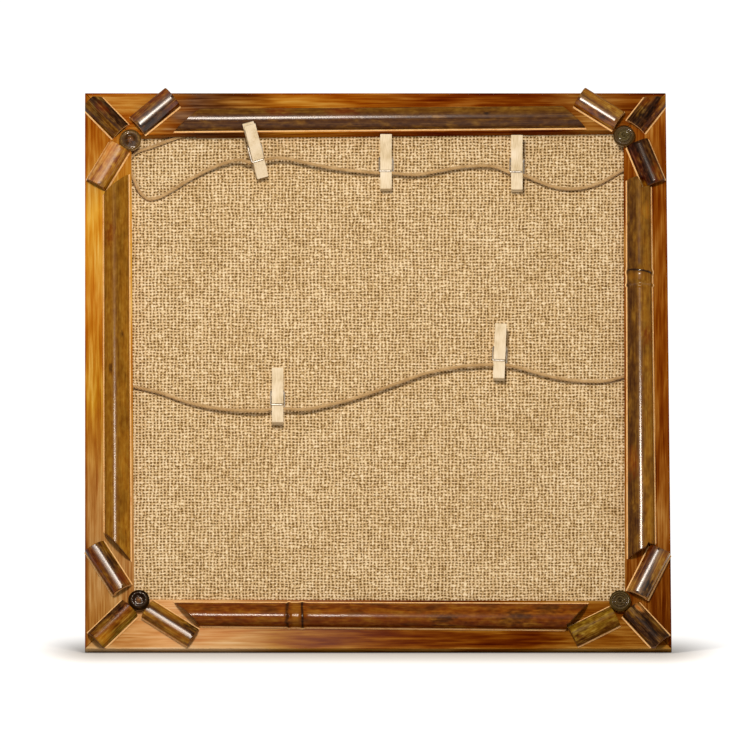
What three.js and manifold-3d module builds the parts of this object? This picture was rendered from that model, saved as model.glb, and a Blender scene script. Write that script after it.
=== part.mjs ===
// Bamboo photo display board
// A square frame of mitred bamboo boards carries split-bamboo half rounds, twelve short
// split-bamboo tubes fanned round four turned buttons, a burlap face with two sagging
// twines, five small sprung clips and a folding strut behind.
// Millimetres, +Z up, the front faces -Y. The board leans back on its lower rear edge.

import * as THREE from "three";
import { mergeVertices } from "three/addons/utils/BufferGeometryUtils.js";
import Module from "manifold-3d";

const wasm = await Module();
wasm.setup();

const { degToRad } = THREE.MathUtils;

// Board outline. Its left edge is square to its foot and its right edge splays outwards.
const boardHeight = 355.5;
const boardTopWidth = 354.6;
const boardFlare = 3.6;
const boardThickness = 8.5;
const boardLean = degToRad(19);

// Each rail, at its left or lower end and at its other end: the bare margin outside the
// half round and the half round's width. The margin inside it is the same all along.
const rails = {
  left: {
    outerReveals: [11.35, 10.65],
    halfRoundWidths: [17.65, 16.55],
    innerReveal: 1.05,
    halfRoundHeight: 6.4,
  },
  right: {
    outerReveals: [8.6, 9.2],
    halfRoundWidths: [18.8, 15.4],
    innerReveal: 1.15,
    halfRoundHeight: 6.2,
  },
  top: {
    outerReveals: [10.6, 7.8],
    halfRoundWidths: [15.3, 15.1],
    innerReveal: 0.7,
    halfRoundHeight: 5.6,
  },
  bottom: {
    outerReveals: [14, 10.4],
    halfRoundWidths: [16.1, 18.7],
    innerReveal: 1.35,
    halfRoundHeight: 6.3,
  },
};
const bambooThickness = 2.6;

// Clearances and cuts
const seatGap = 0.3;
const cutOverrun = 20;

// Where each half round is sawn off, outside edge and inside edge, as shares of the
// board's height counted from the two ends of its own rail
const halfRoundEndShares = {
  left: { startOuter: 0.208, startInner: 0.155, endOuter: 0.1835, endInner: 0.1455 },
  right: { startOuter: 0.188, startInner: 0.16, endOuter: 0.15, endInner: 0.158 },
  top: { startOuter: 0.201, startInner: 0.151, endOuter: 0.181, endInner: 0.135 },
  bottom: { startOuter: 0.198, startInner: 0.151, endOuter: 0.183, endInner: 0.1415 },
};

// A bamboo node: two rings with a slight swelling between them
const nodeSpan = 15;
const nodeRise = 0.55;
const nodeProfileShares = [
  [-0.5, 0],
  [-0.34, 0.25],
  [-0.27, 1],
  [-0.18, 0.2],
  [0.16, 0.35],
  [0.28, 0.9],
  [0.36, 0.2],
  [0.5, 0],
];
const diaphragmThickness = 1.8;
// Node centres, as shares of the way along the rail
const nodeCentreShares = { right: 0.665, bottom: 0.359 };

// Corner tubes and the buttons that they meet at
const petalWidth = 15.2;
const petalHeight = 5.9;
const petalLength = 36;
const buttonDiameter = 13.2;
const buttonHeight = 6.4;
const buttonProfileShares = [
  [0, 0],
  [0.94, 0],
  [1, 0.08],
  [1, 0.6],
  [0.93, 0.74],
  [0.78, 0.78],
  [0.7, 0.66],
  [0.62, 0.78],
  [0.46, 0.82],
  [0.38, 0.7],
  [0.3, 0.86],
  [0.16, 0.97],
  [0, 1],
];

// Button centres are offsets from the corner of the opening, as shares of the button's
// diameter. A tube has an angle in degrees, then shares: its gap to the button and its
// sideways offset, and the reach and width that it has of the common ones.
const corners = {
  top_left: {
    buttonShares: [-0.042, -0.311],
    petals: {
      diagonal: { angle: 133, gapShare: 0.09, asideShare: 0.03, lengthShare: 0.982, widthShare: 0.99 },
      upper: { angle: 40.4, gapShare: 0.162, asideShare: 0.271, lengthShare: 1.043, widthShare: 1.03 },
      lower: { angle: 239.9, gapShare: 0, asideShare: -0.239, lengthShare: 0.983, widthShare: 0.99 },
    },
  },
  top_right: {
    buttonShares: [0.019, -0.348],
    petals: {
      upper: { angle: 147, gapShare: 0.083, asideShare: -0.412, lengthShare: 1.013, widthShare: 0.99 },
      diagonal: { angle: 53.4, gapShare: 0.17, asideShare: -0.127, lengthShare: 0.96, widthShare: 1.02 },
      lower: { angle: 291.7, gapShare: 0, asideShare: 0.392, lengthShare: 0.983, widthShare: 1.02 },
    },
  },
  bottom_left: {
    buttonShares: [0.216, -0.117],
    petals: {
      upper: { angle: 121.6, gapShare: 0.328, asideShare: 0.31, lengthShare: 1.225, widthShare: 0.98 },
      diagonal: { angle: 225.1, gapShare: 0, asideShare: -0.052, lengthShare: 1.021, widthShare: 1.02 },
      lower: { angle: 326.5, gapShare: 0, asideShare: -0.082, lengthShare: 1.132, widthShare: 0.96 },
    },
  },
  bottom_right: {
    buttonShares: [-0.221, -0.064],
    petals: {
      upper: { angle: 64.2, gapShare: 0.092, asideShare: -0.502, lengthShare: 1.12, widthShare: 1.03 },
      diagonal: { angle: 311.6, gapShare: 0.076, asideShare: 0.101, lengthShare: 1.015, widthShare: 1 },
      lower: { angle: 207.4, gapShare: 0, asideShare: 0.444, lengthShare: 1.005, widthShare: 1 },
    },
  },
};

// Burlap and the panel that it is stretched over, both fixed behind the boards
const burlapThickness = 1;
const panelThickness = 3;
const panelLap = 12;
const burlapInset = 1;

// Twines. A route point is [across, down from the middle of the opening's top edge, out
// from the back of the boards].
const twineDiameter = 2.2;
const twineSides = 8;
const twineStep = 3.1 * twineDiameter;
const pocketClearance = 0.8;
const twines = {
  upper: {
    route: [
      [-112, -2.6, 1.3],
      [-117.5, -0.6, 1.3],
      [-125.8, 2.6, 1.3],
      [-136.5, 6.7, 1.3],
      [-147.2, 10.7, 1.3],
      [-150.6, 14.6, 1.3],
      [-150.8, 20.4, 1.3],
      [-148.4, 27.6, 1.3],
      [-144.8, 35.6, 1.3],
      [-139.6, 40.2, 1.4],
      [-133, 39.4, 1.6],
      [-126, 35.6, 2],
      [-111, 26.4, 2.9],
      [-95, 19.2, 4.8],
      [-84, 16.8, 6.5],
      [-77, 19, 7.6],
      [-67.8, 17.1, 7.6],
      [-61.5, 15.8, 6.8],
      [-53.5, 16.2, 6.1],
      [-43.7, 18.3, 5.4],
      [-29, 21.2, 4.7],
      [-13.4, 23.3, 4.3],
      [1.1, 24.5, 4.1],
      [10.1, 24.7, 4.1],
      [24.1, 25.6, 3.9],
      [38.8, 23, 3.8],
      [55.9, 20.2, 3.8],
      [72, 20.4, 3.9],
      [81.4, 24.3, 4.05],
      [89.6, 26, 4.05],
      [98.8, 29.8, 3.7],
      [108.1, 33.1, 3],
      [118.3, 34.3, 2.4],
      [128.3, 32.9, 1.9],
      [137.7, 29.5, 1.5],
      [145.5, 24.6, 1.3],
      [155, 19.2, 1.3],
    ],
    tucked: [
      [0, 2],
      [4, 8],
      [35, 36],
    ],
  },
  lower: {
    route: [
      [-153, 159.4, 1.3],
      [-147.4, 160.7, 1.3],
      [-140.9, 162.2, 1.3],
      [-132.2, 164.5, 1.5],
      [-113.9, 171.2, 2],
      [-98.6, 174.7, 2.6],
      [-83.3, 176.4, 3.3],
      [-70, 176.7, 3.9],
      [-65.1, 175.9, 4.05],
      [-56.1, 175.6, 4.05],
      [-43.4, 175.8, 3.7],
      [-32.1, 173.4, 3.3],
      [-20.8, 170.7, 3],
      [-9.5, 167.1, 2.9],
      [1.8, 163, 2.9],
      [13.1, 158.6, 2.9],
      [28.9, 152.9, 3],
      [41.3, 150, 3.3],
      [52.6, 148.3, 3.6],
      [63, 147.4, 3.95],
      [70.4, 147.3, 4.05],
      [79.2, 147.6, 4.05],
      [88, 149.4, 3.8],
      [99.8, 152.9, 3],
      [112, 155.7, 2.5],
      [130.4, 157.4, 1.9],
      [139.5, 157, 1.5],
      [149, 154.6, 1.3],
      [155.5, 152.4, 1.3],
    ],
    tucked: [
      [0, 1],
      [27, 28],
    ],
  },
};

// Clips. Heights run up the clip from the tips of its jaws.
const clipLength = 34;
const clipWidth = 7;
const jawThickness = 3.4;
const handleSpread = 4.9;
const handleThickness = 1.9;
const jawChamfer = 0.7;
const scoopHeight = 10.1;
const scoopLength = 6;
const scoopDepth = twineDiameter / 2 + 1.2 * seatGap;
const coilHeight = 19;
const armHeight = 11;
const armGrooveDepth = 0.9;
const wireDiameter = 0.8;
const coilDiameter = 3.95;
const coilTurns = 6;
const stepsPerTurn = 8;
const wireSides = 5;
const armBend = 0.9;

// Each clip grips its twine between a route point and the next, at a share of its scoop's
// length above the twine. Roll is towards the right and pitch towards the viewer. A clip
// that isn't pitched lies back on its rear leg.
const clipSplay = Math.atan2(handleSpread - jawThickness, clipLength);
const clips = [
  { on: "upper", after: 15, seatShare: 0, roll: -16, pitch: degToRad(28.5) },
  { on: "upper", after: 22, seatShare: -0.1, roll: 0, pitch: clipSplay },
  { on: "upper", after: 28, seatShare: -0.1, roll: 0, pitch: clipSplay },
  { on: "lower", after: 8, seatShare: 0.17, roll: 0, pitch: clipSplay },
  { on: "lower", after: 20, seatShare: 0.17, roll: 2.2, pitch: clipSplay },
];

// Strut, its pin and its bracket
const strutOpening = degToRad(30);
const strutThickness = 6;
const strutTopWidth = 26;
const strutFootWidth = 46;
const strutHeel = 9;
const hingeUp = 220;
const pinDiameter = 2.5;
const pinHeadDiameter = 4.6;
const pinHeadHeight = 0.9;
const bracketSheet = 1.2;
const bracketTop = 27;
const earRadius = 4.4;
const earGap = 0.5;
const foldGap = 0.4;
const rivetUp = 18;
const rivetSpacing = 15;
const rivetDiameter = 3;
const rivetHeadDiameter = 6;
const rivetHeadHeight = 1.4;

// Finishes
const finish = (color, roughness, metalness = 0) =>
  new THREE.MeshStandardMaterial({ color, roughness, metalness });
const boardBamboo = finish("#a9702e", 0.3);
const burntBamboo = finish("#7a4a1c", 0.18);
const mottledBamboo = finish("#8a5520", 0.18);
const darkWood = finish("#2e2019", 0.25);
const burlap = finish("#d2b183", 0.95);
const jute = finish("#c09a63", 0.9);
const birch = finish("#ecd7b2", 0.7);
const springSteel = finish("#8b857c", 0.35, 0.9);
const hardboard = finish("#6b4a2f", 0.8);
const strutWood = finish("#7d532f", 0.6);
const zincSteel = finish("#a9a9a6", 0.4, 0.9);

// Geometry helpers

// Board axes: across is x, up the board is z, and out to the front is -y.
const onBoard = (across, up, out) => new THREE.Vector3(across, -out, up);

// Extrudes a front-view outline from one depth to another.
function frontPrism(shape, back, front, curveSegments = 12) {
  const geometry = new THREE.ExtrudeGeometry(shape, {
    depth: front - back,
    bevelEnabled: false,
    curveSegments,
  });
  const basis = new THREE.Matrix4().makeBasis(
    new THREE.Vector3(1, 0, 0),
    new THREE.Vector3(0, 0, 1),
    new THREE.Vector3(0, -1, 0)
  );
  return geometry.applyMatrix4(basis).translate(0, -back, 0);
}

// Extrudes a side-view outline, whose x points to the front, across a width.
function sidePrism(shape, width, curveSegments = 8) {
  const geometry = new THREE.ExtrudeGeometry(shape, {
    depth: width,
    bevelEnabled: false,
    curveSegments,
  });
  const basis = new THREE.Matrix4().makeBasis(
    new THREE.Vector3(0, -1, 0),
    new THREE.Vector3(0, 0, 1),
    new THREE.Vector3(-1, 0, 0)
  );
  return geometry.applyMatrix4(basis).translate(width / 2, 0, 0);
}

function outlineOf(points) {
  return new THREE.Shape(points.map(([x, y]) => new THREE.Vector2(x, y)));
}

function rectangle(left, right, low, high) {
  return outlineOf([
    [left, low],
    [right, low],
    [right, high],
    [left, high],
  ]);
}

// A closed surface from points and triangles, turned outwards if it came inside out.
function closedSurface(points, triangles) {
  let volume = 0;
  for (const [a, b, c] of triangles) {
    volume += points[a].dot(points[b].clone().cross(points[c]));
  }
  const outward = volume < 0 ? triangles.map(([a, b, c]) => [a, c, b]) : triangles;
  const geometry = new THREE.BufferGeometry();
  geometry.setAttribute(
    "position",
    new THREE.Float32BufferAttribute(points.flatMap((p) => p.toArray()), 3)
  );
  geometry.setIndex(outward.flat());
  return geometry;
}

// Sweeps a round section along a line of points, with flat ends.
function sweptWire(line, diameter, sides) {
  const points = [];
  const triangles = [];
  const last = line.length - 1;
  const along = line.map((p, i) =>
    line[Math.min(i + 1, last)].clone().sub(line[Math.max(i - 1, 0)]).normalize()
  );
  const side = new THREE.Vector3(0, 0, 1).cross(along[0]).normalize();
  line.forEach((p, i) => {
    side.addScaledVector(along[i], -side.dot(along[i])).normalize();
    const other = along[i].clone().cross(side);
    for (let k = 0; k < sides; k++) {
      const turn = (2 * Math.PI * k) / sides;
      points.push(
        p
          .clone()
          .addScaledVector(side, (Math.cos(turn) * diameter) / 2)
          .addScaledVector(other, (Math.sin(turn) * diameter) / 2)
      );
    }
  });
  for (let i = 0; i < last; i++) {
    for (let k = 0; k < sides; k++) {
      const next = (k + 1) % sides;
      const [a, b] = [i * sides + k, i * sides + next];
      triangles.push([a, b, b + sides], [a, b + sides, a + sides]);
    }
  }
  for (let k = 1; k < sides - 1; k++) {
    triangles.push([0, k + 1, k], [last * sides, last * sides + k, last * sides + k + 1]);
  }
  return closedSurface(points, triangles);
}

function solid(geometry) {
  const bare = geometry.clone();
  bare.deleteAttribute("normal");
  bare.deleteAttribute("uv");
  const merged = mergeVertices(bare);
  return new wasm.Manifold(
    new wasm.Mesh({
      numProp: 3,
      vertProperties: new Float32Array(merged.attributes.position.array),
      triVerts: new Uint32Array(merged.index.array),
    })
  );
}

function surface(body) {
  const mesh = body.getMesh();
  const geometry = new THREE.BufferGeometry();
  geometry.setAttribute("position", new THREE.BufferAttribute(mesh.vertProperties, 3));
  geometry.setIndex(new THREE.BufferAttribute(mesh.triVerts, 1));
  return geometry;
}

const cut = (geometry, tools) =>
  surface(tools.reduce((body, tool) => body.subtract(solid(tool)), solid(geometry)));
const fuse = (geometry, others) =>
  surface(others.reduce((body, other) => body.add(solid(other)), solid(geometry)));
const common = (geometry, other) => surface(solid(geometry).intersect(solid(other)));

function addPiece(parent, name, geometry, material) {
  const mesh = new THREE.Mesh(geometry, material);
  mesh.name = name;
  parent.add(mesh);
  return mesh;
}

// The board's outline and opening

const boardLeft = -(boardTopWidth + boardFlare / 2) / 2;
const boardRightAt = (up) => boardLeft + boardTopWidth + boardFlare * (1 - up / boardHeight);
const lowEnd = 0;
const highEnd = 1;
const railWidth = ({ outerReveals, halfRoundWidths, innerReveal }, end) =>
  outerReveals[end] + halfRoundWidths[end] + innerReveal;

const outer = {
  bottom_left: [boardLeft, 0],
  bottom_right: [boardRightAt(0), 0],
  top_right: [boardRightAt(boardHeight), boardHeight],
  top_left: [boardLeft, boardHeight],
};
const inner = {
  bottom_left: [
    outer.bottom_left[0] + railWidth(rails.left, lowEnd),
    railWidth(rails.bottom, lowEnd),
  ],
  bottom_right: [
    outer.bottom_right[0] - railWidth(rails.right, lowEnd),
    railWidth(rails.bottom, highEnd),
  ],
  top_right: [
    outer.top_right[0] - railWidth(rails.right, highEnd),
    boardHeight - railWidth(rails.top, highEnd),
  ],
  top_left: [
    outer.top_left[0] + railWidth(rails.left, highEnd),
    boardHeight - railWidth(rails.top, lowEnd),
  ],
};
const openingTop = (inner.top_left[1] + inner.top_right[1]) / 2;
const boardFront = boardThickness;
const trimSeat = boardFront + seatGap;

// Base boards

const tuckPockets = Object.values(twines).flatMap(({ route, tucked }) =>
  tucked.map(([first, last]) => {
    const stretch = route.slice(first, last + 1);
    const margin = twineDiameter / 2 + pocketClearance;
    const across = stretch.map((p) => p[0]);
    const up = stretch.map((p) => openingTop - p[1]);
    const out = Math.max(...stretch.map((p) => p[2]));
    const opening = rectangle(
      Math.min(...across) - margin,
      Math.max(...across) + margin,
      Math.min(...up) - margin,
      Math.max(...up) + margin
    );
    return frontPrism(opening, -cutOverrun, out + twineDiameter / 2 + seatGap);
  })
);

function baseBoard(from, to) {
  const mitreShift = seatGap * Math.SQRT1_2;
  const run = new THREE.Vector2(...outer[to]).sub(new THREE.Vector2(...outer[from]));
  const step = run.normalize().multiplyScalar(mitreShift);
  const outline = outlineOf([
    [outer[from][0] + step.x, outer[from][1] + step.y],
    [outer[to][0] - step.x, outer[to][1] - step.y],
    [inner[to][0] - step.x, inner[to][1] - step.y],
    [inner[from][0] + step.x, inner[from][1] + step.y],
  ]);
  return cut(frontPrism(outline, 0, boardFront), tuckPockets);
}

// Split bamboo: a half tube lofted along its length from arch-shaped sections

const archSteps = 12;

function archSection(width, height, growth) {
  const outerArch = [];
  const innerArch = [];
  for (let i = 0; i <= archSteps; i++) {
    const turn = (Math.PI * i) / archSteps;
    const [c, s] = [Math.cos(turn), Math.sin(turn)];
    outerArch.push([(width / 2 + growth) * c, (height + growth) * s]);
    innerArch.push([(width / 2 - bambooThickness) * c, (height - bambooThickness) * s]);
  }
  return [...outerArch, ...innerArch.reverse()];
}

// stations: [position, width, growth, slant], where slant moves the section's outer side along.
function halfTube(height, stations, place) {
  const ring = 2 * (archSteps + 1);
  const points = [];
  const triangles = [];
  for (const [position, width, growth, slant] of stations) {
    for (const [side, rise] of archSection(width, height, growth)) {
      points.push(place(position + slant * (side / width), side, rise));
    }
  }
  for (let s = 0; s < stations.length - 1; s++) {
    for (let i = 0; i < ring; i++) {
      const next = (i + 1) % ring;
      const [a, b] = [s * ring + i, s * ring + next];
      triangles.push([a, b, b + ring], [a, b + ring, a + ring]);
    }
  }
  const endStart = (stations.length - 1) * ring;
  for (let i = 0; i < archSteps; i++) {
    const [a, b, c, d] = [i, i + 1, ring - 2 - i, ring - 1 - i];
    triangles.push([a, c, b], [a, d, c]);
    triangles.push([endStart + a, endStart + b, endStart + c]);
    triangles.push([endStart + a, endStart + c, endStart + d]);
  }
  return closedSurface(points, triangles);
}

// Corner tubes, which the buttons set out

function buttonCentre(corner) {
  const [acrossShare, upShare] = corners[corner].buttonShares;
  return new THREE.Vector2(
    inner[corner][0] + acrossShare * buttonDiameter,
    inner[corner][1] + upShare * buttonDiameter
  );
}

function petalFrame(corner, petal) {
  const { angle, gapShare, asideShare, lengthShare, widthShare } = petal;
  const along = new THREE.Vector2(Math.cos(degToRad(angle)), Math.sin(degToRad(angle)));
  const aside = new THREE.Vector2(-along.y, along.x);
  const width = petalWidth * widthShare;
  const start = buttonDiameter / 2 + seatGap + gapShare * buttonDiameter;
  const end = petalLength * lengthShare;
  const origin = buttonCentre(corner).addScaledVector(aside, asideShare * petalWidth);
  const at = (run, side) =>
    origin.clone().addScaledVector(along, run).addScaledVector(aside, side);
  return { width, start, end, at };
}

const boardOutline = outlineOf([
  outer.bottom_left,
  outer.bottom_right,
  outer.top_right,
  outer.top_left,
]);

function petalTube(corner, name) {
  const { width, start, end, at } = petalFrame(corner, corners[corner].petals[name]);
  const place = (run, side, rise) => {
    const spot = at(run, side);
    return onBoard(spot.x, spot.y, trimSeat + rise);
  };
  const stations = [
    [start, width, 0, 0],
    [end, width, 0, 0],
  ];
  const tube = halfTube(petalHeight, stations, place);
  const sawnFlush = name === "diagonal";
  return sawnFlush ? common(tube, frontPrism(boardOutline, 0, boardFront + cutOverrun)) : tube;
}

// The space that a corner tube takes, which the half rounds are scribed round
function petalSpace(corner, name) {
  const { width, start, end, at } = petalFrame(corner, corners[corner].petals[name]);
  const side = width / 2 + seatGap;
  const footprint = [
    at(start - seatGap, -side),
    at(end + seatGap, -side),
    at(end + seatGap, side),
    at(start - seatGap, side),
  ];
  return frontPrism(new THREE.Shape(footprint), boardFront, boardFront + cutOverrun);
}

const petalSpaces = Object.keys(corners).flatMap((corner) =>
  Object.keys(corners[corner].petals).map((name) => petalSpace(corner, name))
);

// Half rounds along the rails

const railLengths = {
  left: boardHeight,
  right: boardHeight,
  top: boardTopWidth,
  bottom: boardTopWidth + boardFlare,
};

// A size between the values that it has at the two ends of a rail
const alongRail = (rail, [low, high], run) => low + ((high - low) * run) / railLengths[rail];

const halfRoundWidthAt = (rail, run) => alongRail(rail, rails[rail].halfRoundWidths, run);

// How far a half round's middle line lies inside the outer edge of its rail
const halfRoundInset = (rail, run) =>
  alongRail(rail, rails[rail].outerReveals, run) + halfRoundWidthAt(rail, run) / 2;

const halfRoundPlaces = {
  left: (run, side, rise) =>
    onBoard(boardLeft + halfRoundInset("left", run) - side, run, trimSeat + rise),
  right: (run, side, rise) =>
    onBoard(boardRightAt(run) - halfRoundInset("right", run) + side, run, trimSeat + rise),
  top: (run, side, rise) =>
    onBoard(boardLeft + run, boardHeight - halfRoundInset("top", run) + side, trimSeat + rise),
  bottom: (run, side, rise) =>
    onBoard(boardLeft + run, halfRoundInset("bottom", run) - side, trimSeat + rise),
};

// The web that closes a bamboo stem at its node, seen end on as a half disc
function diaphragm(width, height, position, place) {
  const overlap = bambooThickness / 2;
  const reach = [width / 2 - overlap, height - overlap];
  const faces = [-diaphragmThickness / 2, diaphragmThickness / 2];
  const points = faces.flatMap((offset) =>
    Array.from({ length: archSteps + 1 }, (_, i) => {
      const turn = (Math.PI * i) / archSteps;
      return place(position + offset, reach[0] * Math.cos(turn), reach[1] * Math.sin(turn));
    })
  );
  const ring = archSteps + 1;
  const triangles = [];
  for (let i = 0; i < ring; i++) {
    const next = (i + 1) % ring;
    triangles.push([i, next, next + ring], [i, next + ring, i + ring]);
  }
  for (let i = 1; i < archSteps; i++) {
    triangles.push([0, i + 1, i], [ring, ring + i, ring + i + 1]);
  }
  return closedSurface(points, triangles);
}

function halfRound(rail) {
  const height = rails[rail].halfRoundHeight;
  const ends = halfRoundEndShares[rail];
  const place = halfRoundPlaces[rail];
  const length = railLengths[rail];
  const startMiddle = ((ends.startOuter + ends.startInner) / 2) * boardHeight;
  const startSlant = (ends.startOuter - ends.startInner) * boardHeight;
  const endMiddle = length - ((ends.endOuter + ends.endInner) / 2) * boardHeight;
  const endSlant = (ends.endInner - ends.endOuter) * boardHeight;
  const nodeShare = nodeCentreShares[rail];
  const station = (run, growth, slant) => [run, halfRoundWidthAt(rail, run), growth, slant];
  const nodeStations = nodeShare
    ? nodeProfileShares.map(([along, rise]) =>
        station(length * nodeShare + along * nodeSpan, rise * nodeRise, 0)
      )
    : [];
  const tube = halfTube(
    height,
    [station(startMiddle, 0, startSlant), ...nodeStations, station(endMiddle, 0, endSlant)],
    place
  );
  const nodeCentre = length * nodeShare;
  const closed = nodeShare
    ? fuse(tube, [diaphragm(halfRoundWidthAt(rail, nodeCentre), height, nodeCentre, place)])
    : tube;
  return cut(closed, petalSpaces);
}

// Buttons

function button(corner) {
  const profile = buttonProfileShares.map(
    ([out, rise]) => new THREE.Vector2((out * buttonDiameter) / 2, rise * buttonHeight)
  );
  const centre = buttonCentre(corner);
  const lathe = new THREE.LatheGeometry(profile, 20);
  lathe.rotateX(Math.PI);
  lathe.translate(centre.x, -trimSeat, centre.y);
  return lathe;
}

// Burlap and panel

const burlapFront = -seatGap;
const burlapBack = burlapFront - burlapThickness;
const panelFront = burlapBack - seatGap;
const panelBack = panelFront - panelThickness;

function backingOutline(inset) {
  const lap = panelLap - inset;
  return rectangle(
    Math.min(inner.bottom_left[0], inner.top_left[0]) - lap,
    Math.max(inner.bottom_right[0], inner.top_right[0]) + lap,
    Math.min(inner.bottom_left[1], inner.bottom_right[1]) - lap,
    Math.max(inner.top_left[1], inner.top_right[1]) + lap
  );
}

const rivetSpots = [-rivetSpacing / 2, rivetSpacing / 2];

function rivetHoles(up) {
  return rivetSpots.map((across) => {
    const hole = new THREE.Shape();
    hole.absarc(across, up, rivetDiameter / 2 + seatGap, 0, 2 * Math.PI);
    return frontPrism(hole, panelBack - cutOverrun, boardFront, 6);
  });
}

// Twines

function twine(route) {
  const points = route.map(([across, down, out]) => onBoard(across, openingTop - down, out));
  const path = new THREE.CatmullRomCurve3(points, false, "centripetal");
  const section = new THREE.Shape(
    Array.from({ length: twineSides }, (_, k) => {
      const turn = (2 * Math.PI * k) / twineSides;
      return new THREE.Vector2(Math.cos(turn), Math.sin(turn)).multiplyScalar(twineDiameter / 2);
    })
  );
  const steps = Math.round(path.getLength() / twineStep);
  return new THREE.ExtrudeGeometry(section, { steps, extrudePath: path, bevelEnabled: false });
}

// Clip: two wooden legs and a wound spring. The origin is the middle of the coil.

const wireRadius = wireDiameter / 2;
const coilRadius = (coilDiameter - wireDiameter) / 2;
const legFaceAt = (height) =>
  jawThickness + (handleSpread - jawThickness) * (height / clipLength);
const armOffset = legFaceAt(armHeight) - armGrooveDepth + seatGap + wireRadius;
const armSide = clipWidth / 2 + seatGap + wireRadius;

function legOutline() {
  const meet = seatGap / 2;
  const pocket = coilDiameter / 2 + seatGap;
  const scoopTurn = Math.acos(meet / scoopDepth);
  const pocketTurn = Math.acos(meet / pocket);
  const pocketExit = degToRad(62);
  const grooveHalf = wireRadius + seatGap;
  const at = (height) => height - coilHeight;
  const shape = new THREE.Shape();
  shape.moveTo(meet + jawChamfer, at(0));
  shape.lineTo(jawThickness, at(0));
  shape.lineTo(legFaceAt(armHeight - grooveHalf), at(armHeight - grooveHalf));
  shape.lineTo(legFaceAt(armHeight) - armGrooveDepth, at(armHeight - grooveHalf));
  shape.lineTo(legFaceAt(armHeight) - armGrooveDepth, at(armHeight + grooveHalf));
  shape.lineTo(legFaceAt(armHeight + grooveHalf), at(armHeight + grooveHalf));
  shape.lineTo(handleSpread, at(clipLength));
  shape.lineTo(handleSpread - handleThickness, at(clipLength));
  shape.absarc(0, 0, pocket, pocketExit, -pocketTurn, true);
  shape.absellipse(
    0, at(scoopHeight), scoopDepth, scoopLength / 2, scoopTurn, -scoopTurn, true, 0
  );
  shape.lineTo(meet, at(2 * jawChamfer));
  shape.closePath();
  return shape;
}

// The wire runs across the front leg, up its left side, round the coil, down the right
// side and across the rear leg.
function springLine() {
  const drop = coilHeight - armHeight;
  const lead = Math.atan2(-drop, armOffset) + Math.acos(coilRadius / Math.hypot(armOffset, drop));
  const sweep = Math.PI - 2 * lead + 2 * Math.PI * coilTurns;
  const steps = Math.round((sweep / (2 * Math.PI)) * stepsPerTurn);
  const armEnd = clipWidth / 2 - seatGap;
  const spot = (across, out, up) => new THREE.Vector3(across, -out, up);
  const corner = spot(-armSide, armOffset, -drop);
  const coil = [];
  for (let i = 0; i <= steps; i++) {
    const turn = lead + (sweep * i) / steps;
    const across = -armSide + (2 * armSide * i) / steps;
    coil.push(spot(across, coilRadius * Math.cos(turn), coilRadius * Math.sin(turn)));
  }
  const rise = coil[0].clone().sub(corner).normalize();
  const frontArm = [
    spot(armEnd, armOffset, -drop),
    spot(-armSide + armBend, armOffset, -drop),
    corner.clone().addScaledVector(rise, armBend),
  ];
  const rearArm = frontArm.map((p) => spot(-p.x, p.y, p.z)).reverse();
  return [...frontArm, ...coil, ...rearArm];
}

// Least clear distance between stretches of a wire that are a turn or more apart
function leastGap(line, diameter) {
  const apart = stepsPerTurn / 2;
  let least = Infinity;
  for (let i = 0; i < line.length; i++) {
    for (let j = i + apart; j < line.length; j++) {
      least = Math.min(least, line[i].distanceTo(line[j]));
    }
  }
  return least - diameter;
}

function clip(name, { on, after, seatShare, roll, pitch }) {
  const [before, behind] = twines[on].route.slice(after, after + 2);
  const across = (before[0] + behind[0]) / 2;
  const up = openingTop - (before[1] + behind[1]) / 2 + seatShare * scoopLength;
  const tipBack = scoopHeight * Math.sin(pitch) + jawThickness * Math.cos(pitch);
  const armRise = armHeight - scoopHeight;
  const wireBack = (armOffset + wireRadius) * Math.cos(pitch) - armRise * Math.sin(pitch);
  const out = Math.max(tipBack, wireBack);
  const group = new THREE.Group();
  group.position.copy(onBoard(across, up, out));
  group.rotation.set(pitch, degToRad(roll), 0, "YXZ");
  const leg = sidePrism(legOutline(), clipWidth);
  const wire = sweptWire(springLine(), wireDiameter, wireSides);
  const pieces = [
    addPiece(group, `${name}_front_leg`, leg, birch),
    addPiece(group, `${name}_rear_leg`, leg, birch),
    addPiece(group, `${name}_spring`, wire, springSteel),
  ];
  for (const mesh of pieces) {
    mesh.position.z = coilHeight - scoopHeight;
  }
  pieces[1].rotation.z = Math.PI;
  return group;
}

// Strut, bracket, pin and rivets

const webFront = panelBack - seatGap;
const webBack = webFront - bracketSheet;
const hingeOut = webBack - foldGap - strutThickness / 2;
const hingeFloor = hingeUp * Math.cos(boardLean) + hingeOut * Math.sin(boardLean);
const strutLength = hingeFloor / Math.cos(strutOpening - boardLean);
const strutWidthAt = (below) =>
  strutTopWidth + ((strutFootWidth - strutTopWidth) * below) / strutLength;
const earInside = strutWidthAt(earRadius) / 2 + earGap;
const earOutside = earInside + bracketSheet;
const boreRadius = pinDiameter / 2 + seatGap;

function cylinderAcross(radius, length) {
  return new THREE.CylinderGeometry(radius, radius, length, 16).rotateZ(Math.PI / 2);
}

// A block that clears everything past a plane, whose normal is turned about the x axis
function clearPast(normal, distance, turn) {
  const size = strutLength;
  const block = new THREE.BoxGeometry(size, size, size);
  block.rotateX(turn);
  const centre = normal.clone().multiplyScalar(distance + size / 2);
  return block.translate(centre.x, centre.y, centre.z);
}

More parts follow.
